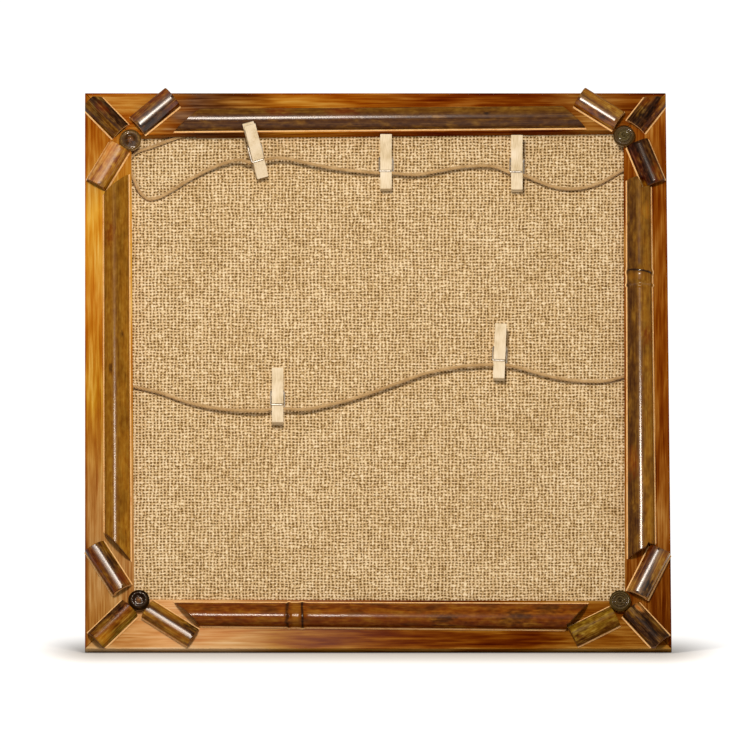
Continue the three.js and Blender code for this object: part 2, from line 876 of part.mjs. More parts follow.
// Hinge-centred, hanging straight down. The heel bears on the bracket when it is open.
function strutLeg() {
  const below = strutLength + strutThickness;
  const half = strutThickness / 2;
  const outline = outlineOf([
    [-strutWidthAt(below) / 2, -below],
    [strutWidthAt(below) / 2, -below],
    [strutTopWidth / 2, strutHeel],
    [-strutTopWidth / 2, strutHeel],
  ]);
  const floorTurn = boardLean - strutOpening;
  const floorward = new THREE.Vector3(0, Math.sin(floorTurn), -Math.cos(floorTurn));
  const stopward = new THREE.Vector3(0, -Math.cos(strutOpening), Math.sin(strutOpening));
  const stopDistance = webBack - hingeOut - seatGap;
  return cut(frontPrism(outline, -half, half), [
    clearPast(floorward, hingeFloor, floorTurn),
    clearPast(stopward, stopDistance, -strutOpening),
    cylinderAcross(boreRadius, strutFootWidth),
  ]);
}

function strutBracket() {
  const web = frontPrism(
    rectangle(-earOutside, earOutside, hingeUp - earRadius, hingeUp + bracketTop),
    webBack,
    webFront
  );
  const earShape = new THREE.Shape();
  earShape.moveTo(webFront, hingeUp - earRadius);
  earShape.lineTo(webFront, hingeUp + earRadius);
  earShape.lineTo(hingeOut, hingeUp + earRadius);
  earShape.absarc(hingeOut, hingeUp, earRadius, Math.PI / 2, (3 * Math.PI) / 2, false);
  earShape.closePath();
  const ears = [-1, 1].map((side) =>
    sidePrism(earShape, bracketSheet).translate(side * (earInside + bracketSheet / 2), 0, 0)
  );
  const pinHole = cylinderAcross(boreRadius, 2 * earOutside + cutOverrun);
  pinHole.translate(0, -hingeOut, hingeUp);
  return cut(fuse(web, ears), [pinHole, ...rivetHoles(hingeUp + rivetUp)]);
}

// A headed pin turned about the z axis, from its profile of [radius, height]
function turned(profile, segments = 16) {
  return new THREE.LatheGeometry(
    profile.map(([radius, height]) => new THREE.Vector2(radius, height)),
    segments
  );
}

function hingePin() {
  const shank = earOutside + seatGap;
  const end = shank + pinHeadHeight;
  const [shankRadius, headRadius] = [pinDiameter / 2, pinHeadDiameter / 2];
  const pin = turned([
    [0, -end],
    [shankRadius, -end],
    [headRadius, -shank],
    [shankRadius, -shank],
    [shankRadius, shank],
    [headRadius, shank],
    [shankRadius, end],
    [0, end],
  ]);
  return pin.rotateZ(Math.PI / 2).translate(0, -hingeOut, hingeUp);
}

function rivet(across) {
  const headSeat = webBack - seatGap;
  const shankEnd = panelFront - seatGap;
  const head = headSeat - rivetHeadHeight;
  const body = turned([
    [0, head],
    [rivetDiameter / 2, head],
    [rivetHeadDiameter / 2, headSeat],
    [rivetDiameter / 2, headSeat],
    [rivetDiameter / 2, shankEnd],
    [0, shankEnd],
  ]);
  return body.rotateX(Math.PI).translate(across, 0, hingeUp + rivetUp);
}

// Assembly

const board = new THREE.Group();
board.rotation.x = -boardLean;

const boardEnds = {
  left: ["bottom_left", "top_left"],
  top: ["top_left", "top_right"],
  right: ["top_right", "bottom_right"],
  bottom: ["bottom_right", "bottom_left"],
};
for (const [rail, [from, to]] of Object.entries(boardEnds)) {
  addPiece(board, `base_board_${rail}`, baseBoard(from, to), boardBamboo);
  addPiece(board, `half_round_${rail}`, halfRound(rail), burntBamboo);
}

for (const [corner, { petals }] of Object.entries(corners)) {
  for (const name of Object.keys(petals)) {
    addPiece(board, `petal_${corner}_${name}`, petalTube(corner, name), mottledBamboo);
  }
  addPiece(board, `button_${corner}`, button(corner), darkWood);
}

addPiece(board, "burlap_sheet", frontPrism(backingOutline(burlapInset), burlapBack, burlapFront), burlap);
const panel = cut(
  frontPrism(backingOutline(0), panelBack, panelFront),
  rivetHoles(hingeUp + rivetUp)
);
addPiece(board, "backing_panel", panel, hardboard);

for (const [name, { route }] of Object.entries(twines)) {
  addPiece(board, `twine_${name}`, twine(route), jute);
}

clips.forEach((place, i) => board.add(clip(`clip_${i + 1}`, place)));
console.log("least gap in a clip spring", leastGap(springLine(), wireDiameter).toFixed(2), "mm");

addPiece(board, "strut_bracket", strutBracket(), zincSteel);
addPiece(board, "strut_pin", hingePin(), zincSteel);
rivetSpots.forEach((across, i) =>
  addPiece(board, `bracket_rivet_${i + 1}`, rivet(across), zincSteel)
);
const strut = addPiece(board, "strut", strutLeg(), strutWood);
strut.position.copy(onBoard(0, hingeUp, hingeOut));
strut.rotation.x = strutOpening;

// The origin is on the floor, under the middle of the standing object.
const standing = new THREE.Group();
standing.add(board);
const extent = new THREE.Box3().setFromObject(standing, true);
const middle = extent.getCenter(new THREE.Vector3());
board.position.set(-middle.x, -middle.y, -extent.min.z);

export default standing;
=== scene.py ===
# %% [markdown]
# A bamboo photo display board, dressed in Blender
#
# The construction comes packed from the CAD model: every board, tube, button and clip is
# a node of its own, and the nodes that move ride on bodies. This script adds what the eye
# reads as bamboo, burlap, jute and birch, and leaves the construction where it is.

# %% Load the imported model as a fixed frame
import math

import bmesh
import bpy
import numpy as np
from mathutils import Euler, Matrix, Vector, noise


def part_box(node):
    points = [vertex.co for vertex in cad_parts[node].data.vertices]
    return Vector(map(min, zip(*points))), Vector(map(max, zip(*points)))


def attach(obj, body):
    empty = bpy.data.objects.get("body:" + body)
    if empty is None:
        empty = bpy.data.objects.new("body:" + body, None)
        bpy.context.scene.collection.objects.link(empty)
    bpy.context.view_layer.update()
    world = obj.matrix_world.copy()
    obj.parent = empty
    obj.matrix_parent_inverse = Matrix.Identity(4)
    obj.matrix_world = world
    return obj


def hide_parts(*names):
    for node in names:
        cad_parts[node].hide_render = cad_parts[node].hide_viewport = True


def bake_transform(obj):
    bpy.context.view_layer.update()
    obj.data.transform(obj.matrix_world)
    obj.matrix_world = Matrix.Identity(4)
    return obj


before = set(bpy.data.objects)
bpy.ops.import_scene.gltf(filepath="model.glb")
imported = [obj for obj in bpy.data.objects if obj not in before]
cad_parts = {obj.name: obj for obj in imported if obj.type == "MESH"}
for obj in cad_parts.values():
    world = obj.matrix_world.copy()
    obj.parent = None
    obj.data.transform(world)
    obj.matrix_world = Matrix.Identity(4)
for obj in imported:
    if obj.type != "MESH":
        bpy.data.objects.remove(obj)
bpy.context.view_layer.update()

MM = 0.001

# %% [markdown]
# The board's own frame
#
# The board leans back on its lower rear edge. Everything on it is easier to place in
# board coordinates: across to the right, up along the board, and out to the front from
# the back of the bamboo boards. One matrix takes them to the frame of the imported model.

# %% Board coordinates
QUARTER_TURN = math.radians(90)
BOARD_LEAN = math.radians(19)
BACK_EDGE_Y = -55.218 * MM
BOARD_SHIFT_X = -0.618 * MM

board_turn = Matrix.Rotation(-BOARD_LEAN, 4, "X")
axes_swap = Matrix(((1, 0, 0, 0), (0, 0, -1, 0), (0, 1, 0, 0), (0, 0, 0, 1)))
FROM_BOARD = Matrix.Translation((BOARD_SHIFT_X, BACK_EDGE_Y, 0)) @ board_turn @ axes_swap


def on_board(across, up, out):
    """A point on the board, in metres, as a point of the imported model."""
    return FROM_BOARD @ Vector((across, up, out))


def link_object(name, data):
    """An object that shows a mesh, a lamp or the camera in the scene."""
    made = bpy.data.objects.new(name, data)
    bpy.context.scene.collection.objects.link(made)
    return made


low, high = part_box("backing_panel")
print("panel from the frame", [round(v, 4) for v in (*low, *high)])

# %% [markdown]
# The camera
#
# The sides of the board stay nearly parallel in the photograph, so that a camera with
# parallel sight lines draws almost the same picture. Its line of sight is taken to drop by
# a degree and a half.

# %% Camera
PICTURE_WIDTH = 457.95 * MM
CAMERA_DISTANCE = 20.0
CAMERA_DROP = math.radians(1.5)
CENTRE_ACROSS = -1.116 * MM
CENTRE_UP = 169.56 * MM

camera_data = bpy.data.cameras.new("camera")
camera_data.type = "ORTHO"
camera_data.ortho_scale = PICTURE_WIDTH
camera_data.clip_end = 4 * CAMERA_DISTANCE
camera = link_object("camera", camera_data)
bpy.context.scene.camera = camera
sight = Vector((0, math.cos(CAMERA_DROP), -math.sin(CAMERA_DROP)))
upward = Vector((0, math.sin(CAMERA_DROP), math.cos(CAMERA_DROP)))
target = on_board(CENTRE_ACROSS, 0, 0) + upward * CENTRE_UP
camera.location = target - sight * CAMERA_DISTANCE
camera.rotation_euler = Euler((QUARTER_TURN - CAMERA_DROP, 0, 0))
bpy.context.scene.view_settings.view_transform = "Standard"
print("picture width", camera_data.ortho_scale, "m")

# %% [markdown]
# Tools for shapes
#
# Tubes, cords and springs are all rings of points joined into a skin. One function joins
# the rings, one makes the mesh, and one turns a mesh into a piece that rides on its body.

# %% Mesh helpers
SHARP_ANGLE = math.radians(38)


def skin_faces(rows, columns, wrap=True):
    """Four-sided faces between rows of points, as numbers of those points."""
    faces = []
    for row in range(rows - 1):
        for column in range(columns if wrap else columns - 1):
            beside = (column + 1) % columns
            here, above = row * columns, (row + 1) * columns
            faces.append((here + column, here + beside, above + beside, above + column))
    return faces


def make_mesh(name, points, faces, kinds=None, outward=True):
    """A mesh from points in board coordinates. kinds gives each face's material number."""
    mesh = bpy.data.meshes.new(name)
    placed = [FROM_BOARD @ Vector(point) for point in points]
    mesh.from_pydata(placed, [], faces)
    if kinds is not None:
        mesh.polygons.foreach_set("material_index", kinds)
    if outward:
        shell = bmesh.new()
        shell.from_mesh(mesh)
        bmesh.ops.recalc_face_normals(shell, faces=shell.faces)
        shell.to_mesh(mesh)
        shell.free()
    mesh.shade_smooth()
    return mesh


def add_piece(name, mesh, materials, body="board", stands_for=()):
    """Links a mesh as a piece that rides on a body and hides the nodes it stands for."""
    piece = link_object(name, mesh)
    if not mesh.materials:
        for material in materials:
            mesh.materials.append(material)
    if body:
        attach(piece, body)
    if stands_for:
        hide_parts(*stands_for)
    return piece


def end_fans(rows, columns):
    """Faces that close the first and the last ring of a skin."""
    last = (rows - 1) * columns
    return [tuple(range(columns - 1, -1, -1)), tuple(range(last, last + columns))]


def travelling_axes(line):
    """Directions along and to two sides of a line, which turn as little as they can."""
    ahead = np.gradient(line, axis=0)
    ahead /= np.linalg.norm(ahead, axis=1, keepdims=True)
    side = np.cross(ahead[0], (0.0, 0.0, 1.0))
    if np.linalg.norm(side) < 0.1:
        side = np.cross(ahead[0], (1.0, 0.0, 0.0))
    sides = []
    for direction in ahead:
        side = side - direction * np.dot(side, direction)
        side = side / np.linalg.norm(side)
        sides.append(side)
    sides = np.array(sides)
    return ahead, sides, np.cross(ahead, sides)


def swept_rings(line, radii, corners):
    """Rings of points round a line."""
    _, sides, others = travelling_axes(line)
    turns = 2 * math.pi * np.arange(corners) / corners
    circle = np.cos(turns)[None, :, None] * sides[:, None, :]
    circle = circle + np.sin(turns)[None, :, None] * others[:, None, :]
    return line[:, None, :] + circle * np.asarray(radii)[:, None, None]


def gather_tube(points, faces, rings):
    """Adds a closed tube's points and faces to those of a mesh."""
    base = len(points)
    rows, sides, _ = rings.shape
    points.extend(rings.reshape(-1, 3))
    tube_faces = skin_faces(rows, sides) + end_fans(rows, sides)
    faces.extend(tuple(base + k for k in face) for face in tube_faces)


# %% [markdown]
# Tools for materials
#
# Colours are picked as sRGB hex, as from a paint card, and one function turns them to the
# linear numbers that a shader wants. One more adds a node, and one feeds its inputs.

# %% Material helpers
def linear(colour):
    """An sRGB hex colour as linear red, green, blue and alpha."""
    levels = [int(colour[i : i + 2], 16) / 255 for i in (1, 3, 5)]
    return (
        *(v / 12.92 if v <= 0.04045 else ((v + 0.055) / 1.055) ** 2.4 for v in levels),
        1.0,
    )


def feed(tree, made, inputs):
    """Sets a node's inputs, by name or number, to values, sockets or nodes' first outputs."""
    for key, value in inputs.items():
        if isinstance(value, bpy.types.Node):
            value = value.outputs[0]
        if isinstance(value, bpy.types.NodeSocket):
            tree.links.new(value, made.inputs[key])
        else:
            made.inputs[key].default_value = value


def node(tree, kind, inputs=None, stops=(), **settings):
    """Adds a shader node with its settings, its inputs and the colour stops of a ramp."""
    made = tree.nodes.new(f"ShaderNode{kind}")
    for name, value in settings.items():
        setattr(made, name, value)
    feed(tree, made, inputs or {})
    if stops:
        elements = made.color_ramp.elements
        while len(elements) < len(stops):
            elements.new(0.5)
        for element, (position, colour) in zip(elements, sorted(stops)):
            element.position = position
            element.color = linear(colour)
    return made


def new_material(name):
    """An empty node material with its tree, its shader and its place on the object."""
    material = bpy.data.materials.new(name)
    material.use_nodes = True
    tree = material.node_tree
    place = node(tree, "TexCoord").outputs["Object"]
    return material, tree, tree.nodes["Principled BSDF"], place


def grain_axes(angle, across=0.0, up=0.0):
    """Mapping settings that lay x along the grain, y into the board and z beside it."""
    turn = Matrix.Rotation(angle, 4, "Y") @ Matrix.Rotation(BOARD_LEAN, 4, "X")
    origin = turn @ on_board(across, up, 0)
    return {"Rotation": (BOARD_LEAN, angle, 0), "Location": -origin}


# %% [markdown]
# Jute twine
#
# Two jute twines sag across the burlap and carry the clips. Jute yarn is spun from long
# brown-gold fibres and laid in three plies, and its surface is dull, with stray fibres
# standing off it. The plies are modelled as three strands that wind round the route,
# because a bump on a plain tube would leave a smooth edge.

# %% Twine routes
TWINE_DIAMETER = 2.2 * MM
PLY_COUNT = 3
PLY_PITCH = 6.5 * MM
PLY_DIAMETER = 1.16 * MM
OPENING_TOP = 330.4 * MM

# In mm: across, down from the middle of the opening's top edge, and out from the boards'
# back
TWINE_ROUTES = {
    "upper": [
        (-112, -2.6, 1.3), (-117.5, -0.6, 1.3), (-125.8, 2.6, 1.3), (-136.5, 6.7, 1.3),
        (-147.2, 10.7, 1.3), (-150.6, 14.6, 1.3), (-150.8, 20.4, 1.3), (-148.4, 27.6, 1.3),
        (-144.8, 35.6, 1.3), (-139.6, 40.2, 1.4), (-133, 39.4, 1.6), (-126, 35.6, 2),
        (-111, 26.4, 2.9), (-95, 19.2, 4.8), (-84, 16.8, 6.5), (-77, 19, 7.6),
        (-67.8, 17.1, 7.6), (-61.5, 15.8, 6.8), (-53.5, 16.2, 6.1), (-43.7, 18.3, 5.4),
        (-29, 21.2, 4.7), (-13.4, 23.3, 4.3), (1.1, 24.5, 4.1), (10.1, 24.7, 4.1),
        (24.1, 25.6, 3.9), (38.8, 23, 3.8), (55.9, 20.2, 3.8), (72, 20.4, 3.9),
        (81.4, 24.3, 4.05), (89.6, 26, 4.05), (98.8, 29.8, 3.7), (108.1, 33.1, 3),
        (118.3, 34.3, 2.4), (128.3, 32.9, 1.9), (137.7, 29.5, 1.5), (145.5, 24.6, 1.3),
        (155, 19.2, 1.3),
    ],
    "lower": [
        (-153, 159.4, 1.3), (-147.4, 160.7, 1.3), (-140.9, 162.2, 1.3), (-132.2, 164.5, 1.5),
        (-113.9, 171.2, 2), (-98.6, 174.7, 2.6), (-83.3, 176.4, 3.3), (-70, 176.7, 3.9),
        (-65.1, 175.9, 4.05), (-56.1, 175.6, 4.05), (-43.4, 175.8, 3.7), (-32.1, 173.4, 3.3),
        (-20.8, 170.7, 3), (-9.5, 167.1, 2.9), (1.8, 163, 2.9), (13.1, 158.6, 2.9),
        (28.9, 152.9, 3), (41.3, 150, 3.3), (52.6, 148.3, 3.6), (63, 147.4, 3.95),
        (70.4, 147.3, 4.05), (79.2, 147.6, 4.05), (88, 149.4, 3.8), (99.8, 152.9, 3),
        (112, 155.7, 2.5), (130.4, 157.4, 1.9), (139.5, 157, 1.5), (149, 154.6, 1.3),
        (155.5, 152.4, 1.3),
    ],
}


def route_points(name):
    """A twine's route in board coordinates."""
    route = TWINE_ROUTES[name]
    return np.array([(a * MM, OPENING_TOP - down * MM, out * MM) for a, down, out in route])


def smooth_line(points, spacing):
    """A centripetal Catmull-Rom curve through the points, in equal steps."""
    ends = [2 * points[0] - points[1]], [2 * points[-1] - points[-2]]
    chain = np.concatenate([ends[0], points, ends[1]])
    gaps = np.sqrt(np.linalg.norm(np.diff(chain, axis=0), axis=1))
    dense = []
    for i in range(1, len(chain) - 2):
        before, start, end, after = chain[i - 1 : i + 3]
        g0, g1, g2 = gaps[i - 1 : i + 2]
        leave = (start - before) / g0 - (end - before) / (g0 + g1) + (end - start) / g1
        arrive = (end - start) / g1 - (after - start) / (g1 + g2) + (after - end) / g2
        leave, arrive = leave * g1, arrive * g1
        t = np.linspace(0, 1, 24, endpoint=False)[:, None]
        dense.append(
            start * (2 * t**3 - 3 * t**2 + 1)
            + leave * (t**3 - 2 * t**2 + t)
            + end * (3 * t**2 - 2 * t**3)
            + arrive * (t**3 - t**2)
        )
    dense = np.concatenate([*dense, chain[-2:-1]])
    run = np.concatenate([[0], np.cumsum(np.linalg.norm(np.diff(dense, axis=0), axis=1))])
    steps = np.linspace(0, run[-1], max(2, round(run[-1] / spacing)))
    return np.stack([np.interp(steps, run, dense[:, k]) for k in range(3)], axis=1), run[-1]


# %% Jute material
# Jute: spun dull bast fibre, golden brown, with darker valleys between the plies.
FIBRE_LENGTH = 6 * MM
FIBRE_WIDTH = 0.25 * MM
FIBRE_RELIEF = 0.15 * MM


def jute(name, light, dark):
    """Spun jute in two tones."""
    material, tree, shader, place = new_material(name)
    tufts = node(tree, "TexNoise", {"Vector": place, "Scale": 1 / FIBRE_LENGTH, "Detail": 3.0})
    fine = node(tree, "TexNoise", {"Vector": place, "Scale": 1 / FIBRE_WIDTH, "Detail": 2.0})
    mixed = node(tree, "Math", {0: tufts, 1: fine}, operation="ADD")
    halved = node(tree, "Math", {0: mixed, 1: 0.5}, operation="MULTIPLY")
    colour = node(tree, "ValToRGB", {"Fac": halved}, stops=[(0.36, dark), (0.62, light)])
    lumps = node(tree, "Bump", {"Height": fine, "Strength": 0.6, "Distance": FIBRE_RELIEF})
    feed(tree, shader, {"Base Color": colour, "Normal": lumps})
    feed(tree, shader, {"Roughness": 0.85, "Specular IOR Level": 0.2})
    feed(tree, shader, {"Sheen Weight": 0.3, "Sheen Roughness": 0.5})
    return material


jute_twine = jute("jute yarn, three-ply", "#d6b888", "#b08e5c")

# %% Twines
TWINE_STEP = 0.55 * MM
PLY_SIDES = 8
PLY_UNEVENNESS = 0.05
PLY_LUMP = 2.2 * MM
STRAY_FIBRES = 150
STRAY_LENGTH = 2.2 * MM
STRAY_DIAMETER = 0.07 * MM
STRAY_STEPS = 5
STRAY_SIDES = 3
BARE_STEPS = 12


def ply_rings(line, strand):
    """The rings of one ply along a twine."""
    _, sides, others = travelling_axes(line)
    run = np.concatenate([[0], np.cumsum(np.linalg.norm(np.diff(line, axis=0), axis=1))])
    turn = 2 * math.pi * (run / PLY_PITCH + strand / PLY_COUNT)
    offset = (TWINE_DIAMETER - PLY_DIAMETER) / 2
    wound = line + offset * (np.cos(turn)[:, None] * sides + np.sin(turn)[:, None] * others)
    lumps = [PLY_UNEVENNESS * noise.noise(Vector(p) / PLY_LUMP) for p in wound]
    return swept_rings(wound, PLY_DIAMETER / 2 * (1 + np.array(lumps)), PLY_SIDES)


def stray_fibres(line, seed):
    """Short loose fibres that stand off the twine, each a thin three-sided tube."""
    draw = np.random.default_rng(seed)
    ahead, sides, others = travelling_axes(line)
    points, faces = [], []
    for _ in range(STRAY_FIBRES):
        i = draw.integers(BARE_STEPS, len(line) - BARE_STEPS)
        turn = draw.uniform(-0.35 * math.pi, 1.35 * math.pi)
        off = math.cos(turn) * sides[i] + math.sin(turn) * others[i]
        if off[2] < -0.2:
            off[2] = -off[2]
        lean = ahead[i] * draw.choice([-1, 1])
        t = np.linspace(0, 1, STRAY_STEPS)[:, None]
        length = STRAY_LENGTH * draw.uniform(0.5, 1)
        start = line[i] + off * TWINE_DIAMETER * 0.42
        hair = start + length * (0.45 * t * off + t * lean * 0.8 + 0.25 * t**2 * off)
        taper = STRAY_DIAMETER / 2 * np.linspace(1, 0.4, STRAY_STEPS)
        gather_tube(points, faces, swept_rings(hair, taper, STRAY_SIDES))
    return points, faces


for seed, name in enumerate(TWINE_ROUTES):
    line, length = smooth_line(route_points(name), TWINE_STEP)
    points, faces = [], []
    for strand in range(PLY_COUNT):
        gather_tube(points, faces, ply_rings(line, strand))
    mesh = make_mesh(f"jute_twine_{name}", points, faces)
    twine = add_piece(mesh.name, mesh, [jute_twine], stands_for=[f"twine_{name}"])
    mesh = make_mesh(f"jute_fibres_{name}", *stray_fibres(line, seed))
    hairs = add_piece(mesh.name, mesh, [jute_twine])
    on_board(*line[0])
    [FROM_BOARD @ Vector(p) for p in line[::2]]
    print("twine", name, round(length, 4), "m")

# %% [markdown]
# Burlap
#
# Burlap is a plain weave of thick, uneven jute threads with open holes between them. The
# sheet is one grid with a point on every thread and in every gap, so that crossings stand
# up and holes sink. The material draws each thread going over and under in the same grid,
# from a map that counts threads.

# %% Burlap weave
THREAD_ACROSS = 2.17 * MM
THREAD_UP = 1.95 * MM
THREAD_RISE = 0.3 * MM
HOLE_DEPTH = 0.5 * MM
THREAD_WANDER = 0.9 * MM
WANDER_LENGTH = 6 * MM
CLOTH_WANDER = 0.6 * MM
CLOTH_LENGTH = 40 * MM


def thread_shifts(count, places):
    """How far each thread lies off its place, along its length. Gaps follow both sides."""
    shifts = np.zeros((2 * count + 1, len(places)))
    for k in range(count):
        row = [noise.noise(Vector((7.3 * k, p / WANDER_LENGTH, 0))) for p in places]
        shifts[2 * k + 1] = THREAD_WANDER * np.array(row)
    shifts[2:-1:2] = (shifts[1:-2:2] + shifts[3::2]) / 2
    return shifts


def burlap_grid(left, right, bottom, top, out):
    """Points, faces and thread counts of the woven sheet."""
    upright = round((right - left) / THREAD_ACROSS)
    level = round((top - bottom) / THREAD_UP)
    across_places = np.linspace(left, right, 2 * upright + 1)
    up_places = np.linspace(bottom, top, 2 * level + 1)
    across_shift = thread_shifts(upright, up_places)
    up_shift = thread_shifts(level, across_places + 1)
    points, counts = [], []
    for j, up in enumerate(up_places):
        for i, across in enumerate(across_places):
            edge = min(1, min(i, 2 * upright - i, j, 2 * level - j) / 8)
            drift = CLOTH_WANDER * noise.noise_vector(Vector((across, up, 0)) / CLOTH_LENGTH)
            gaps = (i % 2 == 0) + (j % 2 == 0)
            height = (THREAD_RISE, 0, -HOLE_DEPTH)[gaps]
            spot = (
                across + edge * (drift.x + across_shift[i, j]),
                up + edge * (drift.y + up_shift[j, i]),
                out + height,
            )
            points.append(spot)
            counts.append((i / 2, j / 2))
    return points, skin_faces(2 * level + 1, 2 * upright + 1, wrap=False), counts


# Steps from the thread counts x and y to each thread's own number and place across it
THREAD_STEPS = [
    ("number x", "FLOOR", "x"),
    ("number y", "FLOOR", "y"),
    ("part x", "FRACT", "x"),
    ("part y", "FRACT", "y"),
    ("off x", "SUBTRACT", "part x", 0.5),
    ("off y", "SUBTRACT", "part y", 0.5),
    ("row x", "MULTIPLY", "number x", 5.3),
    ("row y", "MULTIPLY", "number y", 4.7),
    ("run x", "MULTIPLY", "y", 0.42),
    ("run y", "MULTIPLY", "x", 0.42),
]

# Steps to the height of the two threads, which pass over each other by turns, and to a colour level that
# follows it: painted shade in the holes, at the threads' edges and where a thread dips under, and
# painted light on the tops of the crossings
WEAVE_STEPS = [
    ("sum", "ADD", "number x", "number y"),
    ("parity", "MODULO", "sum", 2),
    ("over x", "MULTIPLY_ADD", "parity", 2, -1),
    ("over y", "MULTIPLY", "over x", -1),
    ("angle x", "MULTIPLY", "off y", math.pi),
    ("angle y", "MULTIPLY", "off x", math.pi),
    ("wave x", "COSINE", "angle x"),
    ("wave y", "COSINE", "angle y"),
    ("lift x", "MULTIPLY", "wave x", "over x"),
    ("lift y", "MULTIPLY", "wave y", "over y"),
    ("yarn x", "MULTIPLY_ADD", "slub x", 0.56, 0.04),
    ("yarn y", "MULTIPLY_ADD", "slub y", 0.56, 0.04),
    ("swell x", "MULTIPLY_ADD", "lift x", 0.12, 1),
    ("swell y", "MULTIPLY_ADD", "lift y", 0.12, 1),
    ("half x", "MULTIPLY", "yarn x", "swell x"),
    ("half y", "MULTIPLY", "yarn y", "swell y"),
    ("reach x", "DIVIDE", "off x", "half x"),
    ("reach y", "DIVIDE", "off y", "half y"),
    ("square x", "MULTIPLY", "reach x", "reach x"),
    ("square y", "MULTIPLY", "reach y", "reach y"),
    ("dome x", "SUBTRACT", 1, "square x"),
    ("dome y", "SUBTRACT", 1, "square y"),
    ("kept x", "MAXIMUM", "dome x", 0),
    ("kept y", "MAXIMUM", "dome y", 0),
    ("round x", "SQRT", "kept x"),
    ("round y", "SQRT", "kept y"),
    ("stand x", "MULTIPLY_ADD", "lift x", 0.1, 0.9),
    ("stand y", "MULTIPLY_ADD", "lift y", 0.1, 0.9),
    ("height x", "MULTIPLY", "round x", "stand x"),
    ("height y", "MULTIPLY", "round y", "stand y"),
    ("height", "MAXIMUM", "height x", "height y"),
    ("y on top", "GREATER_THAN", "height y", "height x"),
    ("x on top", "SUBTRACT", 1, "y on top"),
    ("slub share x", "MULTIPLY", "slub x", "x on top"),
    ("slub", "MULTIPLY_ADD", "slub y", "y on top", "slub share x"),
    ("toned", "MULTIPLY_ADD", "slub", 0.5, "height"),
    ("fibred", "MULTIPLY_ADD", "fibres", 1.5, "toned"),
    ("patched", "MULTIPLY_ADD", "patches", 0.25, "fibred"),
    ("level", "SUBTRACT", "patched", 1.22),
    ("relief", "MULTIPLY_ADD", "fibres", 0.6, "height"),
]


FIBRE_FLECK = 1.1 * MM
TONE_PATCH = 30 * MM
WEAVE_RELIEF = 0.4 * MM
# Colours from the holes' painted shade up to the threads' tops, which are painted lighter as if lit
BURLAP_TONES_AND_PAINTED_SHADE = [
    (0.0, "#6e5228"),
    (0.3, "#a1824f"),
    (0.6, "#cbae7e"),
    (0.85, "#e8d0a6"),
    (1.0, "#faebcc"),
]


def add_steps(tree, values, steps):
    """Works through the steps. Each takes numbers, or earlier values by their names."""
    for name, operation, *sources in steps:
        inputs = {k: values.get(source, source) for k, source in enumerate(sources)}
        values[name] = node(tree, "Math", inputs, operation=operation)


def burlap_material():
    """Plain-woven jute, dull and fuzzy: pale straw threads over brown holes, with painted shade in the
    holes and at the threads' edges.
    """
    material, tree, shader, place = new_material("burlap, plain-woven jute")
    counted = node(tree, "UVMap", uv_map="threads")
    axes = node(tree, "SeparateXYZ", {"Vector": counted}).outputs
    values = {"x": axes["X"], "y": axes["Y"]}
    add_steps(tree, values, THREAD_STEPS)
    for side, offset in (("x", 0.0), ("y", 40.0)):
        spot = {0: values[f"row {side}"], 1: values[f"run {side}"], 2: offset}
        spot = node(tree, "CombineXYZ", spot)
        slub = node(tree, "TexNoise", {"Vector": spot, "Scale": 1.0, "Detail": 2.0})
        values[f"slub {side}"] = slub
    for name, size in (("fibres", FIBRE_FLECK), ("patches", TONE_PATCH)):
        grain = {"Vector": place, "Scale": 1 / size, "Detail": 3.0, "Roughness": 0.6}
        values[name] = node(tree, "TexNoise", grain)
    add_steps(tree, values, WEAVE_STEPS)
    # The colour follows the thread height: painted shade low down, painted light on top
    colour = node(tree, "ValToRGB", {"Fac": values["level"]}, stops=BURLAP_TONES_AND_PAINTED_SHADE)
    weave = {"Height": values["relief"], "Strength": 0.8, "Distance": WEAVE_RELIEF}
    feed(tree, shader, {"Base Color": colour, "Normal": node(tree, "Bump", weave)})
    feed(tree, shader, {"Roughness": 0.9, "Specular IOR Level": 0.1})
    return material


# %% Burlap


BURLAP_OUT = -0.62 * MM
BURLAP_LEFT = -160.95 * MM
BURLAP_RIGHT = 162.45 * MM
BURLAP_BOTTOM = 19.45 * MM
BURLAP_TOP = 342.9 * MM
points, faces, counts = burlap_grid(BURLAP_LEFT, BURLAP_RIGHT, BURLAP_BOTTOM, BURLAP_TOP, BURLAP_OUT)
mesh = make_mesh("woven_burlap", points, faces, outward=False)
layer = mesh.uv_layers.new(name="threads")
corner_points = np.empty(len(mesh.loops), dtype=np.int32)
mesh.loops.foreach_get("vertex_index", corner_points)
layer.uv.foreach_set("vector", (np.array(counts)[corner_points] + 0.5).astype(np.float32).ravel())
finish = burlap_material()
burlap = add_piece("woven_burlap", mesh, [finish], stands_for=["burlap_sheet"])
print("burlap faces", len(mesh.polygons))

# %% [markdown]
# Lacquered bamboo
#
# The half rounds and the corner tubes are split bamboo that was scorched with a torch and lacquered.
# Scorching leaves dark red-brown clouds beside honey and olive skin, the fibres run along the stem as
# fine streaks, and the lacquer gives crisp highlights. Each tube has its own tones on its two flanks and
# its crown, picked from one palette; they are partly scorch colour and partly painted light and shade.

# %% Stains
# Palette for the scorch colours, the marks, and the tubes' flank and crown tones, which partly paint
# light and shade
STAIN = {
    "char": "#2a1608",
    "oxblood": "#4e1b04",
    "umber": "#502f0c",
    "russet": "#733808",
    "chestnut": "#85490a",
    "tobacco": "#7c5412",
    "olive": "#806214",
    "honey": "#a06e1c",
    "gold": "#b98224",
    "amber": "#d69a54",
}
GLAZE = "#966a1c"
# Patterns in the skin, streaks, clouds and mottle: length along the grain, breadth across
# it, and detail
SKIN_FIELDS = [
    (18 * MM, 0.7 * MM, 4.0),
    (13 * MM, 4.2 * MM, 3.0),
    (3.6 * MM, 1.8 * MM, 5.0),
]
SKIN_RELIEF = 0.08 * MM
CLOUD_SWAY = 0.6
MARK_RAGGED = 2.6


